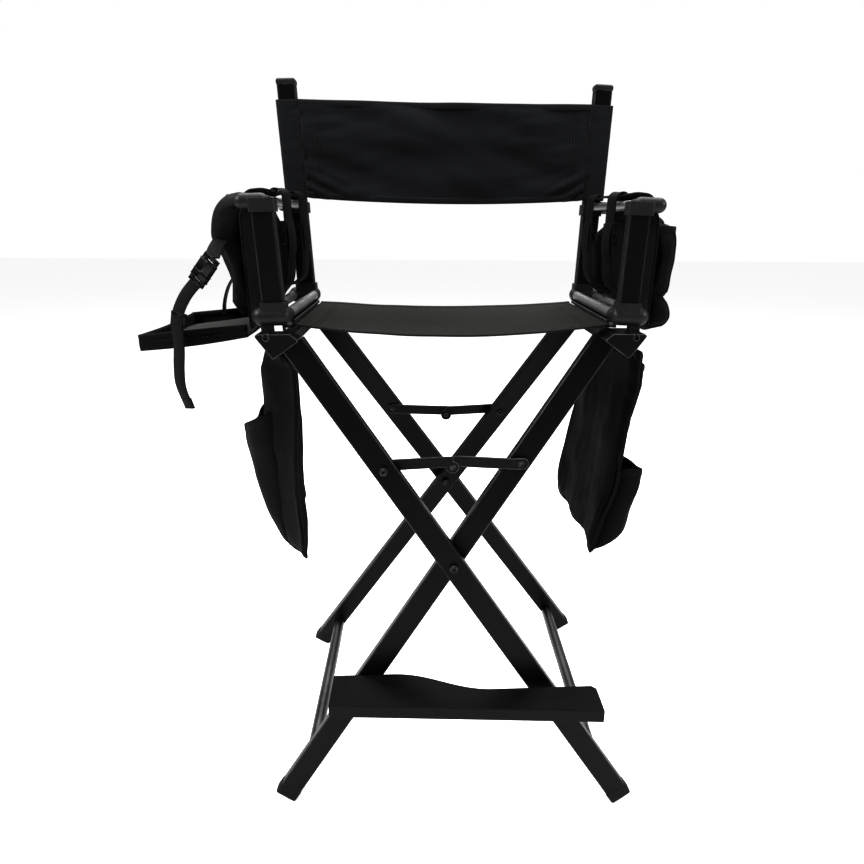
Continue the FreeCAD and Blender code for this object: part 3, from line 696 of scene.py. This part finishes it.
def stud(centre, outward):
    """A domed screw head with a hexagon socket, turned about the Y axis."""
    socket, sides = 2.4, 36
    outline = [(0, 1.2), (socket, 1.2), (3.0, 3.1), (4.6, 2.9), (6.0, 1.9), (6.7, 0.6),
               (6.8, -1.5)]
    points = []
    for radius, rise in outline:
        for k in range(sides):
            turn = 2 * math.pi * k / sides
            corner = math.cos(math.pi / 6) / math.cos(turn % (math.pi / 3) - math.pi / 6)
            reach = radius * (corner if radius <= socket else 1)
            points.append(centre + Vector((reach * math.cos(turn), outward * rise,
                                           reach * math.sin(turn))))
    faces = ring_faces(len(outline), sides)
    return turned_out(made("stud", points, faces, STEEL), weld=0.01)


def brace_studs():
    """Screw heads on leg frame B's inner faces, where the braces' right halves are bolted."""
    out, height, inner_face = 106.4, 584, 132.7
    heads = [stud(Vector((out, end * inner_face, height)), -end) for end in (-1, 1)]
    fitted("brace_studs", heads, "leg_frame_b", "steel_fastener")


# ---------- canvas seat

SEAT_OUT, SEAT_HEIGHT = splayed(231.5, 796, side=1)
SEAT_DEEP = 140
SEAT_HEM = 13


def seat_bow(x):
    """How far the front and rear hems draw in between the rails."""
    return 3 * (1 - (x / SEAT_OUT) ** 2)


def seat_height(x, y):
    """The sag between the rails, deeper towards the front, with tension ripples at the ends."""
    share = x / SEAT_OUT
    drop = lerp(16.5, 8, ease((y + 20) / 160))
    sag = drop * (1 - share ** 2) + 3 * (1 - share ** 2) * (1 - (y / SEAT_DEEP) ** 2)
    ripple = 1.1 * wobble((x * 0.35, y * 2.2, 0), 26) * abs(share) ** 1.5
    return SEAT_HEIGHT - sag + ripple + 0.6 * wobble((x, y, 5), 55)


def seat():
    """One sheet of canvas with rolled hems front and rear and two rows of stitches in each."""
    wide, roll = 2 * SEAT_OUT, SEAT_HEM / 2

    def place(u, v):
        x, y = lerp(-SEAT_OUT, SEAT_OUT, u), lerp(-SEAT_DEEP, SEAT_DEEP, v)
        y -= math.copysign(seat_bow(x) * ease((abs(y) - 90) / 50), y)
        return x, y, seat_height(x, y)

    pieces = [sheet("seat", place, 120, 70, (wide, 2 * SEAT_DEEP), SEAT_CLOTH, 1.8)]
    for end in (-1, 1):
        def hem_place(u, v, end=end):
            x = lerp(-SEAT_OUT, SEAT_OUT, u)
            turn = v * 2 * math.pi
            y = SEAT_DEEP - seat_bow(x) - roll + (roll + 0.6) * math.cos(turn)
            return x, end * y, seat_height(x, end * y) + 1.75 * squared(math.sin(turn), 0.6)

        pieces.append(sheet("seat_hem", hem_place, 120, 20, (wide, 2 * SEAT_HEM), SEAT_CLOTH, 0.5))
        for inset in (3.5, SEAT_HEM - 2):
            def seam(u, v, end=end, inset=inset):
                x = lerp(-SEAT_OUT + 2, SEAT_OUT - 2, u)
                y = end * (SEAT_DEEP - seat_bow(x) - inset)
                return x, y, seat_height(x, y) + 2

            pieces.append(stitches(along_row(seam, 60), (0, 0, 1)))
    for out in (-206, -200, 200, 206):
        row = [Vector((out, y, seat_height(out, y) + 1.3)) for y in range(-124, 127, 5)]
        pieces.append(stitches(row, (0, 0, 1)))
    canvas = fitted("seat_cover", pieces, "arm_left", "seat_fabric", "seat_canvas")
    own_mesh(canvas)


# ---------- canvas back

BACK_LOW, BACK_HIGH = 980, 1135
BACK_TALL = BACK_HIGH - BACK_LOW
BACK_SEAM = 236  # where the sleeves are sewn, out from the middle
BACK_FRONT, BACK_REAR = 131, 156.4


def back_sleeve(side):
    """The canvas around one rear post, sewn to itself beside the post."""
    loop = [(BACK_SEAM, 131.6), (245, 130.8), (257, 130.4), (272, 130.6), (275.6, 134),
            (276.6, 143), (275.6, 153.5), (271, 156.2), (257, 156.6), (243, 155.6), (239, 150),
            (237, 138)]
    ring = smooth_path([(x, y, 0) for x, y in loop], 5, closed=True)
    count = len(ring)

    def place(u, v):
        point = ring[round(u * count) % count]
        height = lerp(BACK_LOW, BACK_HIGH, v)
        pucker = 0.9 * wobble((point.x * 0.5, point.y, height * 2.5), 24, side)
        pull = 0.7 * math.sin(height / 5.2 + side) * ease((252 - point.x) / 16)
        x, z = splayed(point.x + pucker * 0.4, height, side)
        return x, point.y + (pucker + pull) * (0.8 if point.y < 140 else -0.5), z

    pieces = [sheet("sleeve", place, count, 60, (130, BACK_TALL), BACK_CLOTH, 1.5)]
    for out, y, face in ((BACK_SEAM + 2, BACK_FRONT - 1.2, -1),
                         (BACK_SEAM + 7, BACK_FRONT - 1.2, -1), (BACK_SEAM + 15, BACK_REAR, 1)):
        places = (splayed(out, height, side) for height in range(BACK_LOW + 3, BACK_HIGH - 2, 4))
        pieces.append(stitches([Vector((x, y, z)) for x, z in places], (0, face, 0)))
    name = NAMES[side]
    return fitted(f"back_sleeve_{name}", pieces, f"arm_{name}", "back_fabric")


def back_depth(x, z):
    """Front face of the middle panel, drawn tight, with slack folds from its lower corners."""
    share = x / BACK_SEAM
    low = (z - BACK_LOW) / BACK_TALL
    middle = 1 - share ** 2
    fold = math.sin((z - 0.3 * abs(x)) / 9 + 2 * wobble((x, 0, z), 90)) * 2.2
    fold *= ease(abs(share) * 2.2 - 0.9) * ease(1.3 - 1.6 * low)
    long_fold = 9.5 * wobble((x * 0.42, 3, z * 1.5 + x * 0.42), 50) * (0.35 + 0.65 * middle)
    short_fold = 2.2 * wobble((x * 0.5, 9, z * 2.2 - x * 0.2), 34) * ease(abs(share) * 1.4)
    pinch = math.sin((z - 0.45 * abs(x)) / 3.4)
    pinch *= ease(abs(share) * 4 - 2.7) * ease(1.3 - 3.4 * low)
    return BACK_FRONT + 0.8 + fold + long_fold + short_fold + 3.6 * pinch


def back_panel():
    """Thick canvas between the sleeves, hemmed above and below."""
    wide = 2 * BACK_SEAM

    def place(u, v):
        out, z = splayed(BACK_SEAM + 1.5, lerp(BACK_LOW, BACK_HIGH, v))
        x = lerp(out, -out, u)
        slack = -9 * math.sin(math.pi * u) ** 0.7 * (1 - v) - 1.5 * math.sin(math.pi * u) * v
        return x, back_depth(x, z), z + slack

    pieces = [sheet("panel", place, 150, 60, (wide, BACK_TALL), BACK_CLOTH, 3.0)]
    for end, inward in ((0.0, 1), (1.0, -1)):
        def hem_place(u, v, end=end, inward=inward):
            turn = v * 2 * math.pi
            x, y, z = place(u, end)
            z += inward * (4.6 - 5.0 * math.cos(turn))
            return x, y + 2.5 * squared(math.sin(turn), 0.6), z

        pieces.append(sheet("hem", hem_place, 150, 18, (wide, 20), BACK_CLOTH, 0.5))
        for face in (-1, 1):
            row = [point + Vector((0, face * 2.5, inward * 8))
                   for point in along_row(place, 120, end)]
            pieces.append(stitches(row, (0, face, 0)))
    for side in (-1, 1):
        for inset in (22, 27):
            row = []
            for step in range(3, 58):
                share = (inset + 3 * wobble((0, step, side), 30)) / wide
                x, y, z = place(share if side < 0 else 1 - share, step / 60)
                row.append(Vector((x, y - 2.1, z)))
            pieces.append(stitches(row, (0, -1, 0)))
    panel = fitted("back_middle", pieces, "arm_left", "back_fabric")
    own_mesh(panel)


def back():
    back_sleeve(1)
    sleeve = back_sleeve(-1)
    back_panel()
    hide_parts("back_canvas")


# ---------- side organisers

FLAP = [(264, 983.5), (272, 985), (282, 984.5), (292, 982.5), (299, 976), (300.5, 966),
        (300.5, 900), (300, 850), (299.5, 794)]
PANEL_FACE = 302  # the outer face of a side panel, which the pockets are sewn to
REAR_LEAN = {-1: 20, 1: 37}  # how far a side panel's rear edge leans in


def side_panel(side):
    """Cloth that hangs from over the outer arm tube, bound with tape all round."""
    drop = smooth_path([(x, 0, z) for x, z in FLAP], 6)

    def place(u, v):
        point = drop[round(v * (len(drop) - 1))]
        half = lerp(118, 94, ease((point.z - 945) / 25))
        y = lerp(-half, half, u)
        ripple = 1.3 * wobble((0, y, point.z * 0.5), 38, side) * ease((960 - point.z) / 60)
        lean = REAR_LEAN[side] * ease((y - 42) / 78)
        lean *= ease((956 - point.z) / 50) * ease((point.z - 806) / 34)
        return side * (point.x + min(ripple, 1.0) - lean), y, point.z

    rows = len(drop) - 1
    pieces = [sheet("panel", place, 48, rows, (236, 210), NYLON, 1.8)]
    for u in (0.0, 1.0):
        pieces.append(swept("tape", along_column(place, rows, u), (0, 1, 0),
                            strap_section(11, 3.2), WEBBING))
        inset = along_column(place, rows, lerp(0.02, 0.98, u))[8:]
        inset = [point + Vector((side * -1.8, 0, 0)) for point in inset]
        pieces.append(stitches(inset, (-side, 0, 0)))
    pieces.append(bound("tape", along_row(place, 24), 11, 3.2))
    pieces.append(swept("tape", along_row(place, 24, 0.0), (1, 0, 0), strap_section(9, 3.0),
                        WEBBING))
    name = NAMES[side]
    fitted(f"{name}_panel", pieces, f"arm_{name}", "bag_fabric", f"{name}_side_panel")


def hangers(side):
    """Straps that loop over the inner arm tube, each with a flat clip, and the bag's links."""
    loop = [(266, 985), (257, 987), (249, 983), (246.5, 972), (246, 930), (246, 880), (251, 852),
            (268, 838), (297, 831)]
    twisted = (-0.42 * side, 0.9, 0)
    pieces = []
    for depth in (-58, 78):
        lean = 3.0 if depth < 0 else -2.0
        path = [(side * x, depth + lean * (960 - z) / 100, z) for x, z in loop]
        pieces.append(strap("loop", path, 21, across=twisted))
        second = [(246.8, 948), (242.6, 930), (242, 905), (245.4, 886)]
        pieces.append(strap("keeper", [(side * x, depth + 1, z) for x, z in second], 19, 1.6,
                            twisted))
        spin = facing((0, 0, -1), twisted)
        centre = Vector((side * 246, depth + 1.5, 925)) + spin.col[0] * (-2.6 * side)
        bars = [((3.6, 27, 3.4), Vector((0, 0, high))) for high in (-14, -3, 14)]
        bars += [((3.6, 3.4, 31), spin.col[1] * edge) for edge in (-12, 12)]
        pieces += [block(size, centre + shift, spin, 1.1, DULL_SILVER) for size, shift in bars]
        links = [(298, 815), (296.5, 790), (293, 770), (291, 742)]
        pieces.append(strap("link", [(side * x, depth, z) for x, z in links], 22))
    name = NAMES[side]
    fitted(f"{name}_hanging_straps", pieces, f"arm_{name}", "webbing", f"{name}_hangers")


def rounded_outline(corners):
    """A smooth closed outline through (x, z) corners."""
    return smooth_path([(x, 0, z) for x, z in corners], 5, closed=True)


def bag_rings(outline, front, back, round_end, spread=14):
    """Rings of one outline from front to back, drawn in towards its middle at both ends."""
    middle = sum(outline, Vector()) / len(outline)
    rings = []
    for step in range(spread + 1):
        y = lerp(front, back, step / spread)
        inset = max(0.0, 1 - min(y - front, back - y) / round_end)
        draw = math.sqrt(max(1 - inset ** 2, 0.0)) * 0.45 + 0.55
        rings.append([middle + (point - middle) * draw + Vector((0, y, 0)) for point in outline])
    return rings


def laid_on(piece, path, clear, level=False):
    """Moves each path point onto a soft form's surface, at one height when level."""
    tree = BVHTree.FromPolygons([vert.co for vert in piece.data.vertices],
                                [face.vertices for face in piece.data.polygons])
    laid = []
    for point in path:
        place, normal, _, _ = tree.find_nearest(Vector(point) * MM)
        place = place / MM + normal * clear
        laid.append(Vector((place.x, place.y, point[2])) if level else place)
    return laid


def end_piping(piece, outline, y):
    """Cord round an end seam of a soft form."""
    middle = sum(outline, Vector()) / len(outline)
    ring = [middle + (point - middle) * 0.86 + Vector((0, y, 0)) for point in outline]
    return piping("cord", laid_on(piece, ring, 0.5), 1.4, (0, 1, 0), closed=True, steps=1)


def flattened_inside(piece, side, limit=PANEL_FACE):
    """Keeps a soft form from pressing through the side panel it is sewn to."""
    for vert in piece.data.vertices:
        if side * vert.co.x < limit * MM:
            vert.co.x = side * limit * MM
    return piece


def pouch():
    """The left arm's dome-topped pouch: full at the top, hanging in soft upright folds below."""
    outline = rounded_outline([(-304, 978), (-321, 980), (-338, 975), (-350, 960), (-353, 940),
                               (-349, 915), (-338, 888), (-330, 862), (-329, 830), (-331, 802),
                               (-317, 797), (-304, 799), (-303, 860), (-303, 920)])
    shape = lofted("pouch", bag_rings(outline, -103, 68, 44, 20), NYLON)
    shape = puffed(shape, 5.0, 4.0, 7.0)

    def folds(point):
        low = ease((930 - point.z) / 70)
        upright = math.sin(point.y / 9.5 + 2.2 * wobble((0, point.y, point.z), 60))
        return low * upright + 0.5 * wobble(point, 30, 2)

    creased(shape, 2.6, folds)
    flattened_inside(shape, -1, 301.8)
    zip_path = [(-333, -62, 975), (-344, -40, 968), (-347, -10, 966), (-346, 20, 966),
                (-340, 42, 967)]
    closure = strap("zip", zip_path, 9, 2.6, (0.5, 0, 0.9))
    pull = block((2.4, 5, 13), (-352.5, -28, 954), facing((0.25, 0, -1), (0, 1, 0)), 0.8, STEEL)
    fitted("pouch", [shape, pull, closure], "arm_left", "bag_fabric", "left_pouch")


def right_pockets():
    """The right arm's two stacked pockets, the upper one with a bound rim."""
    upper = rounded_outline([(303, 945), (320, 943), (334, 939), (341, 930), (341, 890),
                             (338, 845), (336, 833), (320, 830), (303, 830), (303, 890)])
    lower = rounded_outline([(303, 838), (320, 838), (333, 834), (342, 818), (344, 801),
                             (334, 787), (318, 783), (303, 784)])

    def folds(point):
        return math.sin(point.y / 11 + point.z / 60) * 0.6 + wobble(point, 24, 5)

    for name, outline, front, back, round_end in (("right_pocket_upper", upper, -100, 40, 30),
                                                  ("right_pocket_lower", lower, -104, 56, 32)):
        shape = lofted(name, bag_rings(outline, front, back, round_end), NYLON)
        shape = puffed(shape, 5.0, 4.0, 5.0)
        creased(shape, 1.5, folds)
        flattened_inside(shape, 1)
        pieces = [shape, end_piping(shape, outline, front + 7),
                  end_piping(shape, outline, back - 7)]
        if outline is upper:
            rim = [(305, front + 1, 934), (328, front + 2, 933), (340, front + 16, 932),
                   (346, front + 42, 931), (346, back - 42, 931), (340, back - 14, 932),
                   (325, back - 2, 933), (305, back - 1, 934)]
            rim = laid_on(shape, smooth_path(rim, 4), 1.0, level=True)
            pieces.append(strap("rim", rim, 13, 2.4, (0, 0, 1), steps=1))
            small = rounded_outline([(303, 952), (314, 953), (325, 950), (328, 936), (326, 900),
                                     (303, 900), (303, 930)])
            insert = lofted("insert", bag_rings(small, -84, 10, 26), NYLON)
            pieces.append(flattened_inside(puffed(insert, 5.0, 4.0, 3.0), 1))
        fitted(f"{name}_bag", pieces, "arm_right", "bag_fabric", name)


# ---------- fold-out tray

TRAY_INNER, TRAY_OUTER = -304, -462
TRAY_FRONT, TRAY_REAR = -128, 118


def tray_share(x):
    return (TRAY_INNER - x) / (TRAY_INNER - TRAY_OUTER)


def tray_floor(x):
    return lerp(779.5, 759, tray_share(x)) - 2.5 * math.sin(math.pi * tray_share(x))


def tray_rim(x):
    return lerp(792, 777, tray_share(x))


def tray():
    """A stiffened floor with soft walls on three sides, every free edge bound with tape."""
    wide, deep = TRAY_INNER - TRAY_OUTER, TRAY_REAR - TRAY_FRONT

    def floor_place(u, v):
        x, y = lerp(TRAY_INNER, TRAY_OUTER, u), lerp(TRAY_FRONT + 1.5, TRAY_REAR - 1.5, v)
        swell = 9 * (math.sin(math.pi * u) * math.sin(math.pi * v)) ** 0.6
        return x, y, tray_floor(x) + swell + 0.9 * wobble((x, y, 0), 40)

    def wall(y, lean):
        def place(u, v):
            x = lerp(TRAY_INNER, TRAY_OUTER, u)
            bulge = lean * (1.6 * math.sin(math.pi * v) + 0.9 * wobble((x, y, v * 20), 30))
            return x, y - bulge, lerp(tray_floor(x) - 1.5, tray_rim(x), v)
        return place

    def end_place(u, v):
        y = lerp(TRAY_FRONT + 1, TRAY_REAR - 1, u)
        dip = 3.0 * math.sin(math.pi * u) * v
        return (TRAY_OUTER + 1.5 + 1.2 * math.sin(math.pi * v), y,
                lerp(tray_floor(TRAY_OUTER) - 1, tray_rim(TRAY_OUTER), v) - dip)

    front_place, rear_place = wall(TRAY_FRONT + 1.5, 1), wall(TRAY_REAR - 1.5, -1)
    pieces = [sheet("floor", floor_place, 40, 50, (wide, deep), LINING, 3.0),
              sheet("front", front_place, 50, 8, (wide, 22), NYLON, 2.2),
              sheet("rear", rear_place, 50, 8, (wide, 22), NYLON, 2.2),
              sheet("end", end_place, 50, 8, (deep, 24), NYLON, 2.2)]
    for edge in (front_place, rear_place, end_place):
        pieces.append(bound("tape", along_row(edge, 30), 9, 4.0))
    for y, face in ((TRAY_FRONT, -1), (TRAY_REAR, 1)):
        steps = (lerp(TRAY_INNER - 3, TRAY_OUTER + 4, step / 40) for step in range(41))
        row = [Vector((x, y + face * 0.9, tray_rim(x) - 7)) for x in steps]
        pieces.append(stitches(row, (0, face, 0)))
    for x in (TRAY_OUTER + 12, TRAY_INNER - 12):
        row = along_column(floor_place, 40, tray_share(x))[2:39]
        pieces.append(stitches([point + Vector((0, 0, 1.9)) for point in row], (0, 0, 1)))
    fitted("folding_tray", pieces, "tray", "bag_fabric", "left_tray")


BUCKLE_LEAN = math.radians(38)
STRAP_DOWN = Vector((-math.sin(BUCKLE_LEAN), 0, -math.cos(BUCKLE_LEAN)))
FRONT_ACROSS = (-0.86, 0.5, 0.28)


def along_strap(depth, distance):
    """A point on a buckle's centre line, measured down the strap from the socket's middle."""
    return Vector((-349, depth, 880)) + STRAP_DOWN * distance


def buckle_parts(depth, across, parts):
    """Half a side-release buckle, from rows of distance, sideways, length, width, thickness."""
    spin = facing(STRAP_DOWN, across)
    return [block((thick, width, length), along_strap(depth, distance) + spin.col[1] * sideways,
                  spin, min(thick, width, length) * 0.28)
            for distance, sideways, length, width, thick in parts]


def tray_straps():
    """Two straps with side-release buckles that hold the tray level, the front with a tail."""
    socket = [(2, 0, 16.6, 24, 7.5), (-10, 11.4, 9, 3.2, 5), (-10, -11.4, 9, 3.2, 5),
              (-14, 0, 3.6, 26, 5), (5, 12.2, 6, 3.6, 5)]
    plug = [(15, 0, 8.6, 25, 7), (22, 11.4, 8, 3.2, 5), (22, -11.4, 8, 3.2, 5),
            (26.5, 0, 3.6, 26, 5), (8, -12.6, 7, 2.8, 4.4)]
    upper, lower = [], []
    for depth, is_front in ((-141, True), (102, False)):
        across = FRONT_ACROSS if is_front else (0, 1, 0)
        end = along_strap(depth, -14.5)
        if is_front:
            top = [(-333, -76, 924), (-338, -100, 914), (-340, -122, 903), end]
        else:
            top = [(-303, depth, 974), (-311, depth, 952), (-325, depth, 922), end]
        upper.append(strap("upper", top, 22, across=across))
        if not is_front:
            back = [end + Vector((x, 0, z)) for x, z in ((-1, -1), (9, 18), (18, 38))]
            upper.append(strap("fold_back", back, 18, 1.6, across))
        upper += buckle_parts(depth, across, socket)
        lower += buckle_parts(depth, across, plug)
        start = along_strap(depth, 27)
        if is_front:
            path = [start, (-380, depth, 843), (-391, depth, 826), (-398, depth - 1, 808),
                    (-399, depth - 4, 790), (-399, depth - 5, 765), (-403, depth - 4, 735),
                    (-404, depth - 3, 708), (-397, depth - 1, 678)]
            lower.append(strap("tail", path, 22, across=across))
            tip = [(-399, depth - 1.5, 689), (-395.5, depth - 0.5, 673)]
            lower.append(strap("tail_end", tip, 22, 3.4, across))
            spin = facing((-0.2, 0, -1), across)
            ring = Vector((-396, depth - 1, 806))
            bars = [((3.4, 25, 3), spin.col[2] * fall) for fall in (8, -8)]
            bars += [((3.4, 3, 18), spin.col[1] * edge) for edge in (-11.2, 11.2)]
            lower += [block(size, ring + shift, spin, 1.0) for size, shift in bars]
            anchor = [ring - spin.col[2] * 8, (-400, depth + 6, 790), (-402, depth + 12, 778)]
            lower.append(strap("anchor", anchor, 18, across=across))
        else:
            path = [start, (-384, depth, 838), (-394, depth, 818), (-400, depth, 796),
                    (-401, depth, 778)]
            lower.append(strap("rear_end", path, 20))
    fitted("tray_straps_upper", upper, "arm_left", "webbing", "left_tray_straps",
           "left_buckle_sockets")
    fitted("tray_straps_lower", lower, "tray", "webbing", "left_strap_ends",
           "left_buckle_plugs")


# ---------- long bags


def profile(rows, height):
    """Straight-line reading of (height, value) rows that run downwards."""
    for (high, first), (low, second) in zip(rows, rows[1:]):
        if height >= low:
            return lerp(first, second, min(max((high - height) / (high - low), 0.0), 1.0))
    return rows[-1][1]


BAG_TOP, BAG_FRONT, BAG_REAR = 748, -101, 116


def long_bag(side, front_edge, rear_edge, turn_in, mouth, droop, bulge, belly, blunt,
             pocket_front, low):
    """A limp bag below an arm: a padded back and an outer pocket whose mouth hangs open.

    front_edge and rear_edge are the upright edges' distance out by height, turn_in the depth over
    which the cloth goes from one to the other, mouth the height of the pocket's rim at its seams,
    droop how far the rim hangs, bulge how far it stands off, belly the share of its height over
    which it fills, and low the hem's height at front and rear. A small blunt squares its front.
    """
    def surface(y, z):
        """Distance out of the back's middle."""
        share = (y - BAG_FRONT) / turn_in
        share = ease(share) if turn_in < 150 else share
        out = lerp(profile(front_edge, z), profile(rear_edge, z), share)
        slack = ease((BAG_TOP - z) / 160)
        fold = math.sin(y / 15 + (BAG_TOP - z) / 75 + 1.5 * wobble((0, y, z), 80, side))
        return out + slack * (3.6 * fold + 4.0 * wobble((0, y, z * 0.6), 55, side * 3))

    def hem(y):
        share = (y - BAG_FRONT) / (BAG_REAR - BAG_FRONT)
        return lerp(low[0], low[1], share) + 4 * wobble((y, 0, 0), 60, side)

    def on_back(y, z, off=0.0):
        return Vector((side * (surface(y, z) + off), y, z))

    def creases(point):
        return (wobble((point.x * 0.3, point.y, point.z * 0.45), 17, side)
                * ease((BAG_TOP - 30 - point.z) / 60))

    rings = []
    for step in range(29):
        ring = []
        for k in range(56):
            turn = 2 * math.pi * k / 56
            y = lerp(BAG_FRONT, BAG_REAR, 0.5 + 0.5 * squared(math.cos(turn), 0.35))
            z = lerp(BAG_TOP, hem(y), step / 28)
            ring.append(on_back(y, z, 4.6 * squared(math.sin(turn), 0.35)))
        rings.append(ring)
    back_layer = puffed(lofted("back_layer", rings, NYLON), 4.0, 3.0, 5.0, -0.01)
    creased(back_layer, 1.5, creases)

    def pocket_place(u, v):
        y = lerp(pocket_front, BAG_REAR - 2, u)
        rim = mouth - droop * math.sin(math.pi * u ** 0.7) ** 0.8
        z = lerp(hem(y) + 3, rim, v)
        stand = max(math.sin(math.pi * u ** blunt), 0.0) ** 0.6
        full = bulge * stand * math.sqrt(1 - (1 - min(v / belly, 1.0)) ** 2)
        wave = 2.4 * math.sin(u * 17 + v * 3) * v + 2.5 * wobble((0, y, z), 40, 7 * side)
        return side * (surface(y, z) + 4.5 + full + wave * stand), y, z

    size = (BAG_REAR - pocket_front, mouth - low[0])
    pieces = [back_layer, sheet("pocket", pocket_place, 90, 60, size, NYLON, 1.8),
              bound("rim", along_row(pocket_place, 60), 13, 3.4)]
    for u in (0.0, 1.0):
        pieces.append(swept("side_seam", along_column(pocket_place, 30, u), (0, 1, 0),
                            strap_section(7, 3.4), WEBBING))
    for y in (BAG_FRONT, BAG_REAR):
        edge = [on_back(y, lerp(BAG_TOP - 3, hem(y) + 1, step / 32)) for step in range(33)]
        pieces.append(piping("edge", edge, 2.4, (1, 0, 0)))
    depths = range(BAG_FRONT, BAG_REAR + 1, 7)
    pieces.append(piping("hem", [on_back(y, hem(y)) for y in depths], 2.4, (1, 0, 0)))
    pieces.append(bound("head_tape", [on_back(y, BAG_TOP - 6) for y in depths], 16, 11))
    if side > 0:
        def patch_place(u, v):
            y, z = lerp(BAG_FRONT + 4, -20, u), lerp(640, 722, v)
            stand = math.sin(math.pi * u) ** 0.6
            return surface(y, z) + 5 + 15 * stand * (0.35 + 0.65 * v), y, z - 3 * stand * v

        pieces.append(sheet("patch_pocket", patch_place, 30, 30, (82, 82), NYLON, 1.8))
        pieces.append(bound("patch_rim", along_row(patch_place, 20), 10, 3.2))
    name = NAMES[side]
    fitted(f"{name}_hanging_bag", pieces, f"arm_{name}", "bag_fabric", f"{name}_long_bag")


def long_bags():
    """The left bag's mouth hangs wide open; the right one's pocket starts lower and is fuller."""
    long_bag(-1, [(748, 266), (722, 242), (640, 240), (401, 252)],
             [(748, 293), (711, 303), (640, 306), (520, 300), (404, 284)],
             turn_in=62, mouth=640, droop=38, bulge=40, belly=1.35, blunt=0.6,
             pocket_front=-62, low=(396, 418))
    long_bag(1, [(748, 299), (692, 299), (639, 287), (572, 284), (480, 268), (398, 247)],
             [(748, 286), (701, 272), (650, 264), (582, 250), (455, 229), (419, 230)],
             turn_in=217, mouth=543, droop=8, bulge=52, belly=0.24, blunt=0.38,
             pocket_front=-98, low=(396, 432))


brace_studs()
seat()
back()
for arm_side in (-1, 1):
    side_panel(arm_side)
    hangers(arm_side)
pouch()
right_pockets()
tray()
tray_straps()
long_bags()
